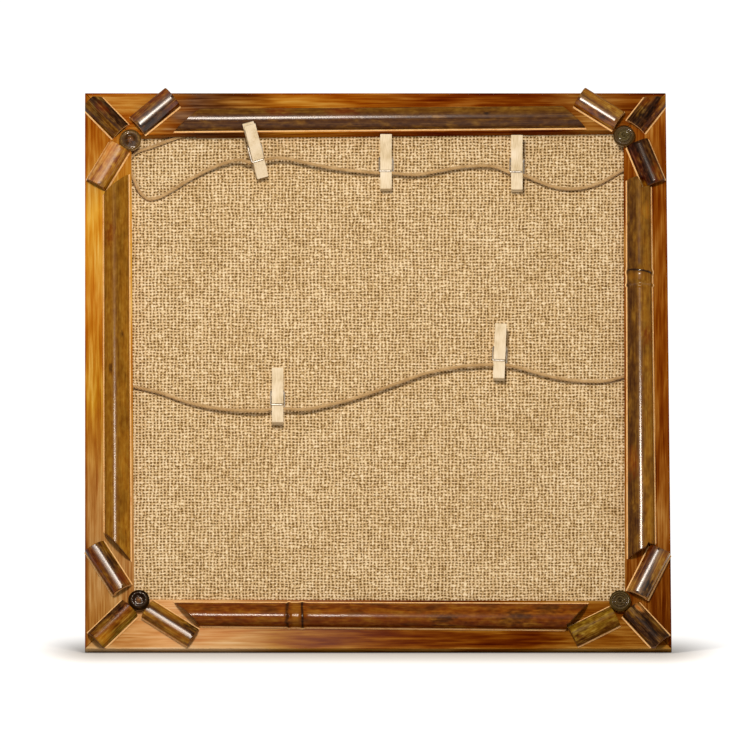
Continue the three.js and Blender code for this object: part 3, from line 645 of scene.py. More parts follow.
def grain_fields(tree, grain, sizes, seed):
    """Noise stretched along the grain, one pattern for each length, breadth and detail."""
    fields = []
    for length, breadth, detail in sizes:
        stretch = (1 / length, 1 / breadth, 1 / breadth)
        space = node(tree, "VectorMath", {0: grain, 1: stretch}, operation="MULTIPLY")
        inputs = {"Vector": space, "W": seed + length / MM, "Scale": 1.0, "Detail": detail}
        fields.append(node(tree, "TexNoise", inputs, noise_dimensions="4D"))
    return fields


def deepened(tree, colour, field, low_place, high_place, deep, clear):
    """A colour that is deep where a field is low and clear where it is high."""
    span = {"From Min": low_place, "From Max": high_place, "To Min": deep, "To Max": clear}
    depth = node(tree, "MapRange", {"Value": field, **span})
    return node(tree, "Gamma", {"Color": colour, "Gamma": depth})


def bamboo(name, angle, centre, width, stains_and_shading, seed, lacquer, depth, marks, rings=()):
    """Scorched, lacquered bamboo. Its stain and shading tones are of the left flank, the crown and the
    right flank, as seen along the grain, partly scorch colour and partly painted light and shade, then
    of its scorch clouds, with how much of them shows. depth is how strongly all of it varies. lacquer is
    its weight and roughness. marks are spots, and rings are bands across the grain."""
    material, tree, shader, place = new_material(name)
    grain = node(tree, "Mapping", {"Vector": place, **grain_axes(angle, *centre)})
    streaks, cloud, mottle = grain_fields(tree, grain, SKIN_FIELDS, seed)
    axes = node(tree, "SeparateXYZ", {"Vector": grain}).outputs
    sway = CLOUD_SWAY * width
    warp = node(tree, "Math", {0: cloud, 1: sway, 2: -sway / 2}, operation="MULTIPLY_ADD")
    beside = node(tree, "Math", {0: axes["Z"], 1: warp}, operation="ADD")
    share = node(tree, "MapRange", {"Value": beside, "From Min": width / 2, "From Max": -width / 2})
    left, crown, right, scorch = (STAIN[stain] for stain in stains_and_shading[:4])
    # Across the tube, flank, crown and flank tones: partly scorch colour and partly painted light and
    # shade
    flanks = [(0.12, left), (0.5, crown), (0.88, right)]
    colour = node(tree, "ValToRGB", {"Fac": share}, stops=flanks)
    layers = []
    for tone, start, end, strength in ((GLAZE, 0.5, 0.28, 0.55), (scorch, 0.44, 0.66, stains_and_shading[4])):
        span = {"From Min": start, "From Max": end, "To Max": strength}
        mask = node(tree, "MapRange", {"Value": cloud, **span}, interpolation_type="SMOOTHSTEP")
        layers.append((mask, tone))
    for place_along, place_beside, radius, tone_name in marks:
        spot = (place_along * MM, 0, place_beside * MM)
        away = node(tree, "VectorMath", {0: grain, 1: spot}, operation="SUBTRACT")
        flat = node(tree, "VectorMath", {0: away, 1: (0.5, 0, 1)}, operation="MULTIPLY")
        distance = node(tree, "VectorMath", {0: flat}, operation="LENGTH").outputs["Value"]
        radius *= MM
        blur = radius * MARK_RAGGED
        ragged = node(tree, "Math", {0: mottle, 1: blur, 2: distance}, operation="MULTIPLY_ADD")
        span = {"From Min": blur / 2 + radius * 0.3, "From Max": blur / 2 + radius * 1.2}
        mask = node(tree, "MapRange", {"Value": ragged, **span, "To Min": 0.8, "To Max": 0.0})
        layers.append((mask, STAIN[tone_name]))
    for ring, half_width, tone_name, strength, tilt, ragged in rings:
        slanted = node(tree, "Math", {0: axes["Z"], 1: tilt, 2: axes["X"]}, operation="MULTIPLY_ADD")
        bent = node(tree, "Math", {0: mottle, 1: ragged, 2: slanted}, operation="MULTIPLY_ADD")
        off = node(tree, "Math", {0: bent, 1: ring + ragged / 2}, operation="SUBTRACT")
        far = node(tree, "Math", {0: off}, operation="ABSOLUTE")
        span = {"From Min": half_width * 0.5, "From Max": half_width * 1.5}
        mask = node(tree, "MapRange", {"Value": far, **span, "To Min": strength, "To Max": 0.0})
        layers.append((mask, STAIN[tone_name]))
    for mask, tone in layers:
        mixed = node(tree, "Mix", {0: mask, 6: colour, 7: linear(tone)}, data_type="RGBA")
        colour = mixed.outputs[2]
    for field in (mottle, streaks):
        colour = deepened(tree, colour, field, 0.32, 0.68, 1 + 0.36 * depth, 1 - 0.26 * depth)
    relief = node(tree, "Bump", {"Height": streaks, "Strength": 0.25, "Distance": SKIN_RELIEF})
    dull = node(tree, "MapRange", {"Value": cloud, "To Min": 0.22, "To Max": 0.34})
    feed(tree, shader, {"Base Color": colour, "Roughness": dull, "Normal": relief})
    feed(tree, shader, {"Specular IOR Level": 0.04})
    feed(tree, shader, {"Coat Weight": lacquer[0], "Coat Roughness": lacquer[1]})
    return material


BUNDLE = 0.6 * MM
FLESH_STAIN = 6 * MM


def raw_edge(name, light, dark, coat):
    """Bamboo flesh where a saw or a sander went through: dots of fibre bundles, pale."""
    material, tree, shader, place = new_material(name)
    bundles = node(tree, "TexVoronoi", {"Vector": place, "Scale": 1 / BUNDLE})
    stain = node(tree, "TexNoise", {"Vector": place, "Scale": 1 / FLESH_STAIN, "Detail": 3.0})
    spots = node(tree, "Math", {0: bundles, 1: 0.6, 2: stain}, operation="MULTIPLY_ADD")
    colour = node(tree, "ValToRGB", {"Fac": spots}, stops=[(0.45, dark), (0.85, light)])
    feed(tree, shader, {"Base Color": colour, "Roughness": 0.5, "Specular IOR Level": 0.3})
    feed(tree, shader, {"Coat Weight": coat, "Coat Roughness": 0.2})
    return material


sanded_edge = raw_edge("bamboo flesh, sanded and lacquered", "#fbcd8c", "#dc9850", 0.2)
sawn_end = raw_edge("bamboo end grain, stained", "#8a5a30", "#3c1f0e", 0.1)
print("stains_and_shading", len(STAIN))

# %% [markdown]
# Split tubes
#
# Every half round and corner tube is half a bamboo stem: an arch with a wall, lofted along
# its length. Real stems swell, wander and carry soft facets, so that each ring of points
# is pushed a little by noise. Its foot has a sanded edge, which shows as a pale line.

# %% Arch loft
WALL = 2.6 * MM
BOARD_THICKNESS = 8.5 * MM
SEAT = BOARD_THICKNESS + 0.3 * MM
ARCH_STEPS = 56
FOOT_EDGE = 0.55 * MM
FOOT_SET = 0.8 * MM
END_EASE = 0.35 * MM
SWELL = 0.04 * MM
SWELL_LENGTH = 24 * MM
SWELL_BREADTH = 7 * MM
SWELL_FOOT = 2 * MM
SKIN, EDGE, SAWN = range(3)


def arch_ring(width, height, growth, flatness):
    """Outer and inner arch of one section, as side and rise, from the right foot round.
    A flatness of 2 is an ellipse, and more of it flattens the crown."""
    half, low = width / 2 + growth - FOOT_SET, FOOT_EDGE
    power = 2 / flatness
    first = math.asin((low / (height + growth)) ** (1 / power))
    turns = np.linspace(first, math.pi - first, ARCH_STEPS + 1)
    beside = half * np.sign(np.cos(turns)) * np.abs(np.cos(turns)) ** power
    outside = np.stack([beside, (height + growth) * np.sin(turns) ** power], axis=1)
    foot = half + FOOT_SET
    outside = np.concatenate([[(foot, 0)], outside, [(-foot, 0)]])
    turns = np.linspace(math.pi, 0, ARCH_STEPS + 3)
    inside = np.stack([(width / 2 - WALL) * np.cos(turns), (height - WALL) * np.sin(turns)], axis=1)
    return np.concatenate([outside, inside])


def arch_tube(name, stations, place, skew, flatness, seed, start_kind=SAWN):
    """A half tube as a mesh. stations: run, width, height, growth, slant. skew is the
    share of its width that the crest lies off the middle. start_kind is the material of
    its first end."""
    outer = ARCH_STEPS + 3
    ring = 2 * outer
    points = []
    for run, width, height, growth, slant in stations:
        for k, (side, rise) in enumerate(arch_ring(width, height, growth, flatness)):
            if 0 < k < outer - 1:
                spot = Vector((run / SWELL_LENGTH, side / SWELL_BREADTH, seed))
                push = SWELL * noise.noise(spot) * min(1, rise / SWELL_FOOT)
                side, rise = side * (1 + push / width), rise + push
            side += skew * width * (rise / height) ** 2 * (k < outer)
            points.append(place(run + slant * side / width, side, rise))
    faces = skin_faces(len(stations), ring)
    around = [EDGE] + [SKIN] * (outer - 3) + [EDGE] + [SAWN] * (ring - outer + 1)
    kinds = around[:ring] * (len(stations) - 1)
    last = (len(stations) - 1) * ring
    for k in range(outer - 1):
        mate = ring - 1 - k
        faces.append((k, mate, mate - 1, k + 1))
        faces.append((last + k, last + k + 1, last + mate - 1, last + mate))
        kinds += [start_kind, SAWN]
    return make_mesh(name, points, faces, kinds)


def eased_runs(start, end, spacing):
    """Places along a tube, with a short step at each end for the eased arris."""
    steps = max(2, round((end - start) / spacing))
    middle = np.linspace(start + END_EASE, end - END_EASE, steps)
    runs = [start, *middle, end]
    growths = [-END_EASE * 0.8, *[0.0] * steps, -END_EASE * 0.8]
    return list(zip(runs, growths))


# %% Cutting and finishing
def cutter(points):
    """A solid cutter whose points are two rings, the rear one first."""
    count = len(points) // 2
    faces = skin_faces(2, count) + end_fans(2, count)
    return link_object("cutter", make_mesh("cutter", points, faces, [SAWN] * len(faces)))


def carve(mesh, cutters, operation):
    """Runs the cutters through a mesh, and gives the cut mesh back."""
    body = link_object("carved", mesh)
    for tool in cutters:
        for material in mesh.materials:
            tool.data.materials.append(material)
        modifier = body.modifiers.new("cut", "BOOLEAN")
        modifier.object = tool
        modifier.operation = operation
        modifier.solver = "EXACT"
    depsgraph = bpy.context.evaluated_depsgraph_get()
    result = bpy.data.meshes.new_from_object(body.evaluated_get(depsgraph))
    result.name = mesh.name
    for spent in (body, *cutters):
        bpy.data.objects.remove(spent)
    return result


def set_edges(mesh):
    """Smooth shading with crisp arrises."""
    mesh.shade_smooth()
    mesh.set_sharp_from_angle(angle=SHARP_ANGLE)


def add_tube(mesh, skin, stands_for, cutters, operation="DIFFERENCE"):
    """Gives a half tube its skin, edges and sawn ends, cuts it to shape and adds it."""
    name = mesh.name
    for material in (skin, sanded_edge, sawn_end):
        mesh.materials.append(material)
    if cutters:
        mesh = carve(mesh, cutters, operation)
    set_edges(mesh)
    return add_piece(name, mesh, [], stands_for=[stands_for])


# %% Board and opening sizes
BOARD_HEIGHT = 355.5 * MM
BOARD_TOP_WIDTH = 354.6 * MM
BOARD_FLARE = 3.6 * MM
BOARD_LEFT = -(BOARD_TOP_WIDTH + BOARD_FLARE / 2) / 2

# The bare margins outside the half round and its widths are those of its two ends.
RAILS = {
    "left": {"margins": (11.35, 10.65), "widths": (17.65, 16.55), "inside": 1.05, "height": 6.4},
    "right": {"margins": (8.6, 9.2), "widths": (18.8, 15.4), "inside": 1.15, "height": 6.2},
    "top": {"margins": (10.6, 7.8), "widths": (15.3, 15.1), "inside": 0.7, "height": 5.6},
    "bottom": {"margins": (14, 10.4), "widths": (16.1, 18.7), "inside": 1.35, "height": 6.3},
}


def right_edge(up):
    """The splayed right edge of the board."""
    return BOARD_LEFT + BOARD_TOP_WIDTH + BOARD_FLARE * (1 - up / BOARD_HEIGHT)


def rail_width(rail, end):
    """A rail's whole width at its low end, 0, or its high end, 1."""
    sizes = RAILS[rail]
    return (sizes["margins"][end] + sizes["widths"][end] + sizes["inside"]) * MM


OUTER = {
    "bottom_left": (BOARD_LEFT, 0),
    "bottom_right": (right_edge(0), 0),
    "top_right": (right_edge(BOARD_HEIGHT), BOARD_HEIGHT),
    "top_left": (BOARD_LEFT, BOARD_HEIGHT),
}
INNER = {
    "bottom_left": (BOARD_LEFT + rail_width("left", 0), rail_width("bottom", 0)),
    "bottom_right": (right_edge(0) - rail_width("right", 0), rail_width("bottom", 1)),
    "top_right": (
        right_edge(BOARD_HEIGHT) - rail_width("right", 1),
        BOARD_HEIGHT - rail_width("top", 1),
    ),
    "top_left": (BOARD_LEFT + rail_width("left", 1), BOARD_HEIGHT - rail_width("top", 0)),
}
print("opening corners", {k: tuple(round(c / MM, 2) for c in v) for k, v in INNER.items()})

# %% [markdown]
# Corner tubes
#
# Three short tubes fan out from the button in each corner. Each has its own direction,
# length, width and burn marks. The diagonal one is sawn flush with the board's outline.

# %% Corner tube sizes
PETAL_WIDTH = 15.2 * MM
PETAL_HEIGHT = 5.9 * MM
PETAL_LENGTH = 36 * MM
BUTTON_DIAMETER = 13.2 * MM
BUTTON_HEIGHT = 6.4 * MM
CLEARANCE = 0.3 * MM

# A button's place is a share of its diameter from the opening's corner. A tube has its
# angle, then shares: gap to the button, sideways offset, reach and width.
CORNERS = {
    "top_left": {
        "button": (-0.042, -0.311),
        "diagonal": (133, 0.09, 0.03, 0.982, 0.99),
        "upper": (40.4, 0.162, 0.271, 1.043, 1.03),
        "lower": (239.9, 0, -0.239, 0.983, 0.99),
    },
    "top_right": {
        "button": (0.019, -0.348),
        "upper": (147, 0.083, -0.412, 1.013, 0.99),
        "diagonal": (53.4, 0.17, -0.127, 0.96, 1.02),
        "lower": (291.7, 0, 0.392, 0.983, 1.02),
    },
    "bottom_left": {
        "button": (0.216, -0.117),
        "upper": (121.6, 0.328, 0.31, 1.225, 0.98),
        "diagonal": (225.1, 0, -0.052, 1.021, 1.02),
        "lower": (326.5, 0, -0.082, 1.132, 0.96),
    },
    "bottom_right": {
        "button": (-0.221, -0.064),
        "upper": (64.2, 0.092, -0.502, 1.12, 1.03),
        "diagonal": (311.6, 0.076, 0.101, 1.015, 1),
        "lower": (207.4, 0, 0.444, 1.005, 1),
    },
}

# Tones of each tube: left flank, crown and right flank as seen from the button, partly scorch colour and
# partly painted light and shade, then the colour of its scorch clouds and how much of it shows
PETAL_STAINS_AND_SHADING = {
    "top_left_diagonal": ("tobacco", "umber", "char", "char", 0.7),
    "top_left_upper": ("chestnut", "umber", "umber", "char", 0.5),
    "top_left_lower": ("honey", "gold", "amber", "chestnut", 0.6),
    "top_right_upper": ("chestnut", "tobacco", "honey", "umber", 0.5),
    "top_right_diagonal": ("umber", "char", "chestnut", "char", 0.7),
    "top_right_lower": ("umber", "char", "oxblood", "char", 0.7),
    "bottom_left_upper": ("chestnut", "umber", "tobacco", "char", 0.6),
    "bottom_left_diagonal": ("olive", "chestnut", "umber", "char", 0.5),
    "bottom_left_lower": ("honey", "umber", "honey", "char", 0.5),
    "bottom_right_upper": ("russet", "umber", "honey", "char", 0.7),
    "bottom_right_diagonal": ("umber", "char", "umber", "char", 0.6),
    "bottom_right_lower": ("tobacco", "olive", "olive", "oxblood", 0.5),
}

# Lacquer brushed on by hand: weight and roughness on each tube
PETAL_LACQUER = {
    "top_left_diagonal": (0.16, 0.17),
    "top_left_upper": (0.85, 0.2),
    "top_left_lower": (0.7, 0.3),
    "top_right_upper": (0.75, 0.2),
    "top_right_diagonal": (0.16, 0.17),
    "top_right_lower": (0.2, 0.15),
    "bottom_left_upper": (0.32, 0.17),
    "bottom_left_diagonal": (0.08, 0.12),
    "bottom_left_lower": (0.26, 0.18),
    "bottom_right_upper": (1.0, 0.19),
    "bottom_right_diagonal": (0.2, 0.15),
    "bottom_right_lower": (0.05, 0.2),
}

# Marks on a tube: distance along and beside it, radius, all in mm, and their stain
PETAL_MARKS = {
    "top_left_diagonal": ((34, 4, 3, "tobacco"), (26, -1, 3, "russet")),
    "top_left_upper": ((14, -3, 4, "char"), (34, 5, 3, "chestnut"), (34, -5, 3, "russet")),
    "top_left_lower": ((17, 3, 2, "chestnut"), (34, 3, 2, "tobacco"), (14, -5, 3, "amber")),
    "top_right_upper": ((17, 4, 1.6, "umber"), (32, 2, 1.4, "umber"), (26, -4, 3, "honey")),
    "top_right_diagonal": ((36, -4, 3, "gold"), (28, 4, 4, "chestnut"), (18, -2, 5, "char")),
    "top_right_lower": ((32, 5, 5, "chestnut"), (14, 4, 4, "umber"), (34, -6, 1.5, "gold")),
    "bottom_left_upper": ((24, 4, 3, "tobacco"), (16, -4, 4, "chestnut")),
    "bottom_left_diagonal": ((39, -3, 1.6, "char"), (34, 3, 4, "gold"), (16, -5, 4, "char")),
    "bottom_left_lower": ((38, 5, 4, "char"), (20, 5, 4, "honey"), (30, -5, 5, "honey")),
    "bottom_right_upper": ((12, -5, 4, "char"), (12, 5, 3, "honey"), (32, -4, 4, "honey")),
    "bottom_right_diagonal": ((12, 3.6, 2, "amber"), (36, 0, 2, "tobacco"), (28, 5, 3, "tobacco")),
    "bottom_right_lower": ((32, 3, 1.8, "oxblood"), (40, 2, 1.6, "oxblood"), (24, -6, 1.6, "umber")),
}

# Crest offset as a share of the width, flatness of the crown, and taper of the height
PETAL_CROWNS = {
    "top_left_diagonal": (0, 2.3, 0),
    "top_left_upper": (0.13, 2.85, 0.14),
    "top_left_lower": (-0.08, 3.0, 0),
    "top_right_upper": (-0.09, 2.85, 0),
    "top_right_diagonal": (0, 2.3, 0),
    "top_right_lower": (0.16, 2.2, 0),
    "bottom_left_upper": (0.09, 2.75, 0),
    "bottom_left_diagonal": (-0.06, 2.2, 0),
    "bottom_left_lower": (-0.12, 2.6, 0),
    "bottom_right_upper": (-0.12, 2.85, 0),
    "bottom_right_diagonal": (0, 2.3, 0),
    "bottom_right_lower": (0, 2.3, 0),
}


def button_centre(corner):
    """Where a button stands on the board."""
    across, up = CORNERS[corner]["button"]
    return np.array(INNER[corner]) + np.array((across, up)) * BUTTON_DIAMETER


def petal_frame(corner, name):
    """A tube's width, start, end, origin and its two directions on the board."""
    angle, gap, aside, reach, width = CORNERS[corner][name]
    turn = math.radians(angle)
    along = np.array((math.cos(turn), math.sin(turn)))
    beside = np.array((-along[1], along[0]))
    start = BUTTON_DIAMETER / 2 + CLEARANCE + gap * BUTTON_DIAMETER
    origin = button_centre(corner) + beside * aside * PETAL_WIDTH
    return PETAL_WIDTH * width, start, PETAL_LENGTH * reach, origin, along, beside


PETALS = [(corner, name) for corner in CORNERS for name in ("upper", "diagonal", "lower")]

# %% Corner tubes
DRAFT = 5 * MM
OUTLINE_REACH = 6 * MM
PETAL_STEP = 1.5 * MM


def outline_block():
    """The space over the board, with its top face sloping back towards the front."""
    back, front = -OUTLINE_REACH, SEAT + PETAL_HEIGHT + OUTLINE_REACH
    points = []
    for depth, drop in ((back, 0), (front, DRAFT)):
        for corner in ("bottom_left", "bottom_right", "top_right", "top_left"):
            across, up = OUTER[corner]
            points.append((across, up - drop * corner.startswith("top"), depth))
    return cutter(points)


for number, (corner, name) in enumerate(PETALS):
    width, start, end, origin, along, beside = petal_frame(corner, name)

    def place(run, side, rise):
        return (*(origin + along * run + beside * side), SEAT + rise)

    label = f"{corner}_{name}"
    skew, flatness, taper = PETAL_CROWNS[label]
    stations = []
    for run, growth in eased_runs(start, end, PETAL_STEP):
        along_share = (run - start) / (end - start)
        stations.append((run, width, PETAL_HEIGHT * (1 + taper * (along_share - 0.5)), growth, 0))
    seed = number * 1.7
    mesh = arch_tube(f"bamboo_tube_{label}", stations, place, skew, flatness, seed, EDGE)
    skin = bamboo(
        f"scorched lacquered bamboo, {label.replace('_', ' ')}",
        angle=math.atan2(along[1], along[0]),
        centre=origin,
        width=width,
        stains_and_shading=PETAL_STAINS_AND_SHADING[label],
        seed=number * 2.3,
        lacquer=PETAL_LACQUER[label],
        depth=1.0,
        marks=PETAL_MARKS[label],
    )
    cutters = [outline_block()] if name == "diagonal" else []
    add_tube(mesh, skin, f"petal_{label}", cutters, "INTERSECT")
print("corner tubes", len(PETALS))

# %% [markdown]
# Half rounds on the rails
#
# The four long half rounds are sawn at a slant and fitted round the corner tubes. The
# right and the bottom ones each hold a node of the stem: two low rings, with a dark line
# where the sheath grew.

# %% Half rounds
NODE_SPAN = 15 * MM
NODE_RISE = 0.55 * MM
NODE_PLACES = {"right": 0.665, "bottom": 0.359}
RAIL_ENDS = {
    "left": (0.208, 0.155, 0.1835, 0.1455),
    "right": (0.188, 0.16, 0.15, 0.158),
    "top": (0.201, 0.151, 0.181, 0.135),
    "bottom": (0.198, 0.151, 0.183, 0.1415),
}
RAIL_LENGTHS = {
    "left": BOARD_HEIGHT,
    "right": BOARD_HEIGHT,
    "top": BOARD_TOP_WIDTH,
    "bottom": BOARD_TOP_WIDTH + BOARD_FLARE,
}
# Tones of each half round, as for the corner tubes: partly scorch colour and partly painted light and
# shade on the flanks and crown
RAIL_STAINS_AND_SHADING = {
    "left": ("honey", "tobacco", "honey", "tobacco", 0.5),
    "right": ("umber", "tobacco", "honey", "umber", 0.3),
    "top": ("tobacco", "umber", "umber", "umber", 0.5),
    "bottom": ("russet", "chestnut", "russet", "umber", 0.6),
}
# Lacquer on each half round: weight and roughness
RAIL_LACQUER = {
    "left": (0.14, 0.13),
    "right": (0.36, 0.13),
    "top": (0.3, 0.16),
    "bottom": (0.13, 0.09),
}
RAIL_DEPTH = 0.5
RAIL_STEP = 2.2 * MM
NODE_STEPS = 37
CUTTER_HEIGHT = 20 * MM

# Bands at a stem's node: place as a share of its span, half width in mm, stain, strength,
# tilt, and how ragged they are in mm
RAIL_RINGS = {
    "right": ((0.25, 0.6, "char", 0.95, -0.16, 0.8), (0.0, 1.9, "honey", 0.4, -0.1, 2)),
    "bottom": (
        (0.0, 2.6, "honey", 0.45, 0, 2),
        (-0.35, 1.0, "char", 0.75, 0, 4),
        (0.27, 0.7, "char", 0.95, 0.03, 0.8),
    ),
}

# Marks: distance along from the middle of the board and beside the crest, radius, stain
RAIL_MARKS = {
    "left": (
        (85, 5, 4, "chestnut"), (0, 4, 1.2, "umber"), (-60, -5, 5, "honey"), (22, -3, 1.2, "umber"),
    ),
    "right": (
        (-60, 5, 5, "chestnut"), (-95, 4, 5, "umber"), (100, -5, 3, "gold"), (20, -5, 3, "chestnut"),
    ),
    "top": (
        (68, 2, 1.2, "char"), (-60, 5, 5, "russet"), (-20, 5, 6, "russet"), (40, -4, 3, "umber"),
    ),
    "bottom": (
        (85, -3, 5, "umber"), (104, 3, 4, "umber"), (40, -4, 4, "umber"), (-90, 5, 4, "russet"),
    ),
}

# Crest offset as a share of the width, outwards, and flatness of the crown
RAIL_CROWNS = {"left": (0.12, 2.05), "right": (0.09, 2.1), "top": (0.12, 2.4), "bottom": (0.13, 2.05)}
SLANT_FADE = 45 * MM


def between(pair, share):
    """The value that lies a share of the way from the first to the second."""
    return pair[0] + (pair[1] - pair[0]) * share


def node_growth(off):
    """How far a stem's node stands proud, at a distance from its middle."""
    scar = math.exp(-(((off + 0.27 * NODE_SPAN) / (1.0 * MM)) ** 2))
    ridge = 0.9 * math.exp(-(((off - 0.28 * NODE_SPAN) / (1.5 * MM)) ** 2))
    groove = 0.35 * math.exp(-(((off + 0.38 * NODE_SPAN) / (0.8 * MM)) ** 2))
    swell = 0.3 * math.exp(-((off / (0.4 * NODE_SPAN)) ** 2))
    return NODE_RISE * (scar + ridge - groove + swell)


def rail_place(rail):
    """The function that puts a half round's point on the board."""
    sizes, length = RAILS[rail], RAIL_LENGTHS[rail]

    def place(run, side, rise):
        share = run / length
        inset = (between(sizes["margins"], share) + between(sizes["widths"], share) / 2) * MM
        spots = {
            "left": (BOARD_LEFT + inset - side, run),
            "right": (right_edge(run) - inset + side, run),
            "top": (BOARD_LEFT + run, BOARD_HEIGHT - inset + side),
            "bottom": (BOARD_LEFT + run, inset - side),
        }
        return (*spots[rail], SEAT + rise)

    return place


def petal_cutter(corner, name):
    """The space that a corner tube takes from the half rounds."""
    width, start, end, origin, along, beside = petal_frame(corner, name)
    half = width / 2 + CLEARANCE
    near, far = start - CLEARANCE, end + CLEARANCE
    reach = [(near, -half), (far, -half), (far, half), (near, half)]
    outline = [tuple(origin + along * run + beside * side) for run, side in reach]
    depths = (BOARD_THICKNESS, BOARD_THICKNESS + CUTTER_HEIGHT)
    return cutter([(*corner, depth) for depth in depths for corner in outline])


for number, rail in enumerate(RAILS):
    length, height = RAIL_LENGTHS[rail], RAILS[rail]["height"] * MM
    start_outer, start_inner, end_outer, end_inner = (s * BOARD_HEIGHT for s in RAIL_ENDS[rail])
    start, end = (start_outer + start_inner) / 2, length - (end_outer + end_inner) / 2
    slants = (start_outer - start_inner, end_inner - end_outer)
    stem_node = NODE_PLACES.get(rail)
    runs = eased_runs(start, end, RAIL_STEP)
    if stem_node:
        middle = stem_node * length
        runs = [r for r in runs if abs(r[0] - middle) > NODE_SPAN * 0.6]
        runs += [(middle + off, 0.0) for off in np.linspace(-0.6, 0.6, NODE_STEPS) * NODE_SPAN]
        runs.sort()
    stations = []
    for run, growth in runs:
        slant = slants[0] * max(0, 1 - (run - start) / SLANT_FADE)
        slant += slants[1] * max(0, 1 - (end - run) / SLANT_FADE)
        if stem_node:
            growth += node_growth(run - middle)
        width = between(RAILS[rail]["widths"], run / length) * MM
        stations.append((run, width, height, growth, slant))
    place = rail_place(rail)
    mesh = arch_tube(f"bamboo_rail_{rail}", stations, place, *RAIL_CROWNS[rail], 20 + number * 3.1)
    rings = [
        (middle - length / 2 + share * NODE_SPAN, half_width * MM, stain, strength, tilt, ragged * MM)
        for share, half_width, stain, strength, tilt, ragged in RAIL_RINGS.get(rail, ())
    ]
    skin = bamboo(
        f"scorched lacquered bamboo, {rail} rail",
        angle=QUARTER_TURN if rail in ("left", "right") else 0.0,
        centre=place(length / 2, 0, 0)[:2],
        width=np.mean(RAILS[rail]["widths"]) * MM,
        stains_and_shading=RAIL_STAINS_AND_SHADING[rail],
        seed=40 + number * 1.9,
        lacquer=RAIL_LACQUER[rail],
        depth=RAIL_DEPTH,
        marks=RAIL_MARKS[rail],
        rings=rings,
    )
    cutters = [petal_cutter(*petal) for petal in PETALS]
    tube = add_tube(mesh, skin, f"half_round_{rail}", cutters)
    print("rail", rail, "faces", len(tube.data.polygons))

# %% [markdown]
# Turned buttons
#
# A dark wooden button sits where the tubes meet. All four were turned on a lathe, each
# with its own beads and grooves: a dome in a ring, a wound shell, a thick ring round a
# small dome, and fine rings. A lathe profile turned round the centre makes each one.

# %% Buttons
BUTTON_STEPS = 44
BUTTON_TURNS = 96
MERGE_DISTANCE = 0.01 * MM

# The base's height, the beads as radius, width and height shares, and how far they wind
BUTTON_BEADS = {
    "top_left": (0.3, [(0.0, 0.42, 0.62), (0.84, 0.1, 0.14)], 0.0),
    "top_right": (
        0.42,
        [(0.0, 0.13, 0.5), (0.34, 0.1, 0.34), (0.62, 0.1, 0.26), (0.88, 0.09, 0.16)],
        0.5,
    ),
    "bottom_left": (0.3, [(0.0, 0.2, 0.4), (0.66, 0.2, 0.6)], 0.0),
    "bottom_right": (
        0.42,
        [(0.0, 0.1, 0.5), (0.3, 0.08, 0.3), (0.54, 0.08, 0.26), (0.8, 0.1, 0.24)],
        0.0,
    ),
}


def button_mesh(corner):
    """One turned button. Its last number winds the beads into a spiral."""
    base, beads, winding = BUTTON_BEADS[corner]
    centre = button_centre(corner)
    radius = BUTTON_DIAMETER / 2
    rim = [(0.93, 0.0), (0.985, 0.05), (1.0, 0.12), (1.0, 0.4), (0.985, 0.5)]
    shares = [*rim, *((s, None) for s in np.linspace(0.955, 0.0, BUTTON_STEPS))]
    points = []
    for share, level in shares:
        for k in range(BUTTON_TURNS):
            turn = 2 * math.pi * k / BUTTON_TURNS
            height = level
            if height is None:
                wound = share + winding * 0.25 * (k / BUTTON_TURNS if share > 0.18 else 0)
                height = base + sum(
                    lift * math.exp(-(((wound - place) / reach) ** 2)) for place, reach, lift in beads
                )
                height *= 1 - 0.35 * share**6
            spot = centre + radius * share * np.array((math.cos(turn), math.sin(turn)))
            points.append((*spot, SEAT + min(height, 1.0) * BUTTON_HEIGHT))
    rows = len(shares)
    faces = skin_faces(rows, BUTTON_TURNS)
    faces.append(tuple(range(BUTTON_TURNS - 1, -1, -1)))
    mesh = make_mesh(f"turned_button_{corner}", points, faces)
    shell = bmesh.new()
    shell.from_mesh(mesh)
    bmesh.ops.remove_doubles(shell, verts=shell.verts, dist=MERGE_DISTANCE)
    bmesh.ops.recalc_face_normals(shell, faces=shell.faces)
    shell.to_mesh(mesh)
    shell.free()
    set_edges(mesh)
    return mesh


# Ebonised wood: turned, stained nearly black and lacquered, so that each bead has a glint.
TURNED_GRAIN = 1.2 * MM
TURNED_RELIEF = 0.1 * MM


def ebonised(name, centre, tones):
    """Dark turned wood. tones are its colours at the centre, on the beads and at the rim."""
    material, tree, shader, place = new_material(name)
    turned = node(tree, "Mapping", {"Vector": place, **grain_axes(0.0, *centre)})
    flat = node(tree, "VectorMath", {0: turned, 1: (1, 0, 1)}, operation="MULTIPLY")
    radius = node(tree, "VectorMath", {0: flat}, operation="LENGTH").outputs["Value"]
    grain = node(tree, "TexNoise", {"Vector": place, "Scale": 1 / TURNED_GRAIN, "Detail": 4.0})
    mixed = {0: grain, 1: BUTTON_DIAMETER * 0.4, 2: radius}
    broken = node(tree, "Math", mixed, operation="MULTIPLY_ADD")
    reach = {"From Min": BUTTON_DIAMETER * 0.2, "From Max": BUTTON_DIAMETER * 0.7}
    share = node(tree, "MapRange", {"Value": broken, **reach})
    stops = list(zip((0.05, 0.35, 0.65, 1.0), tones))
    colour = node(tree, "ValToRGB", {"Fac": share}, stops=stops)
    relief = node(tree, "Bump", {"Height": grain, "Strength": 0.3, "Distance": TURNED_RELIEF})
    feed(tree, shader, {"Base Color": colour, "Normal": relief})
    feed(tree, shader, {"Roughness": 0.4, "Specular IOR Level": 0.08})
    feed(tree, shader, {"Coat Weight": 0.8, "Coat Roughness": 0.1})
    return material


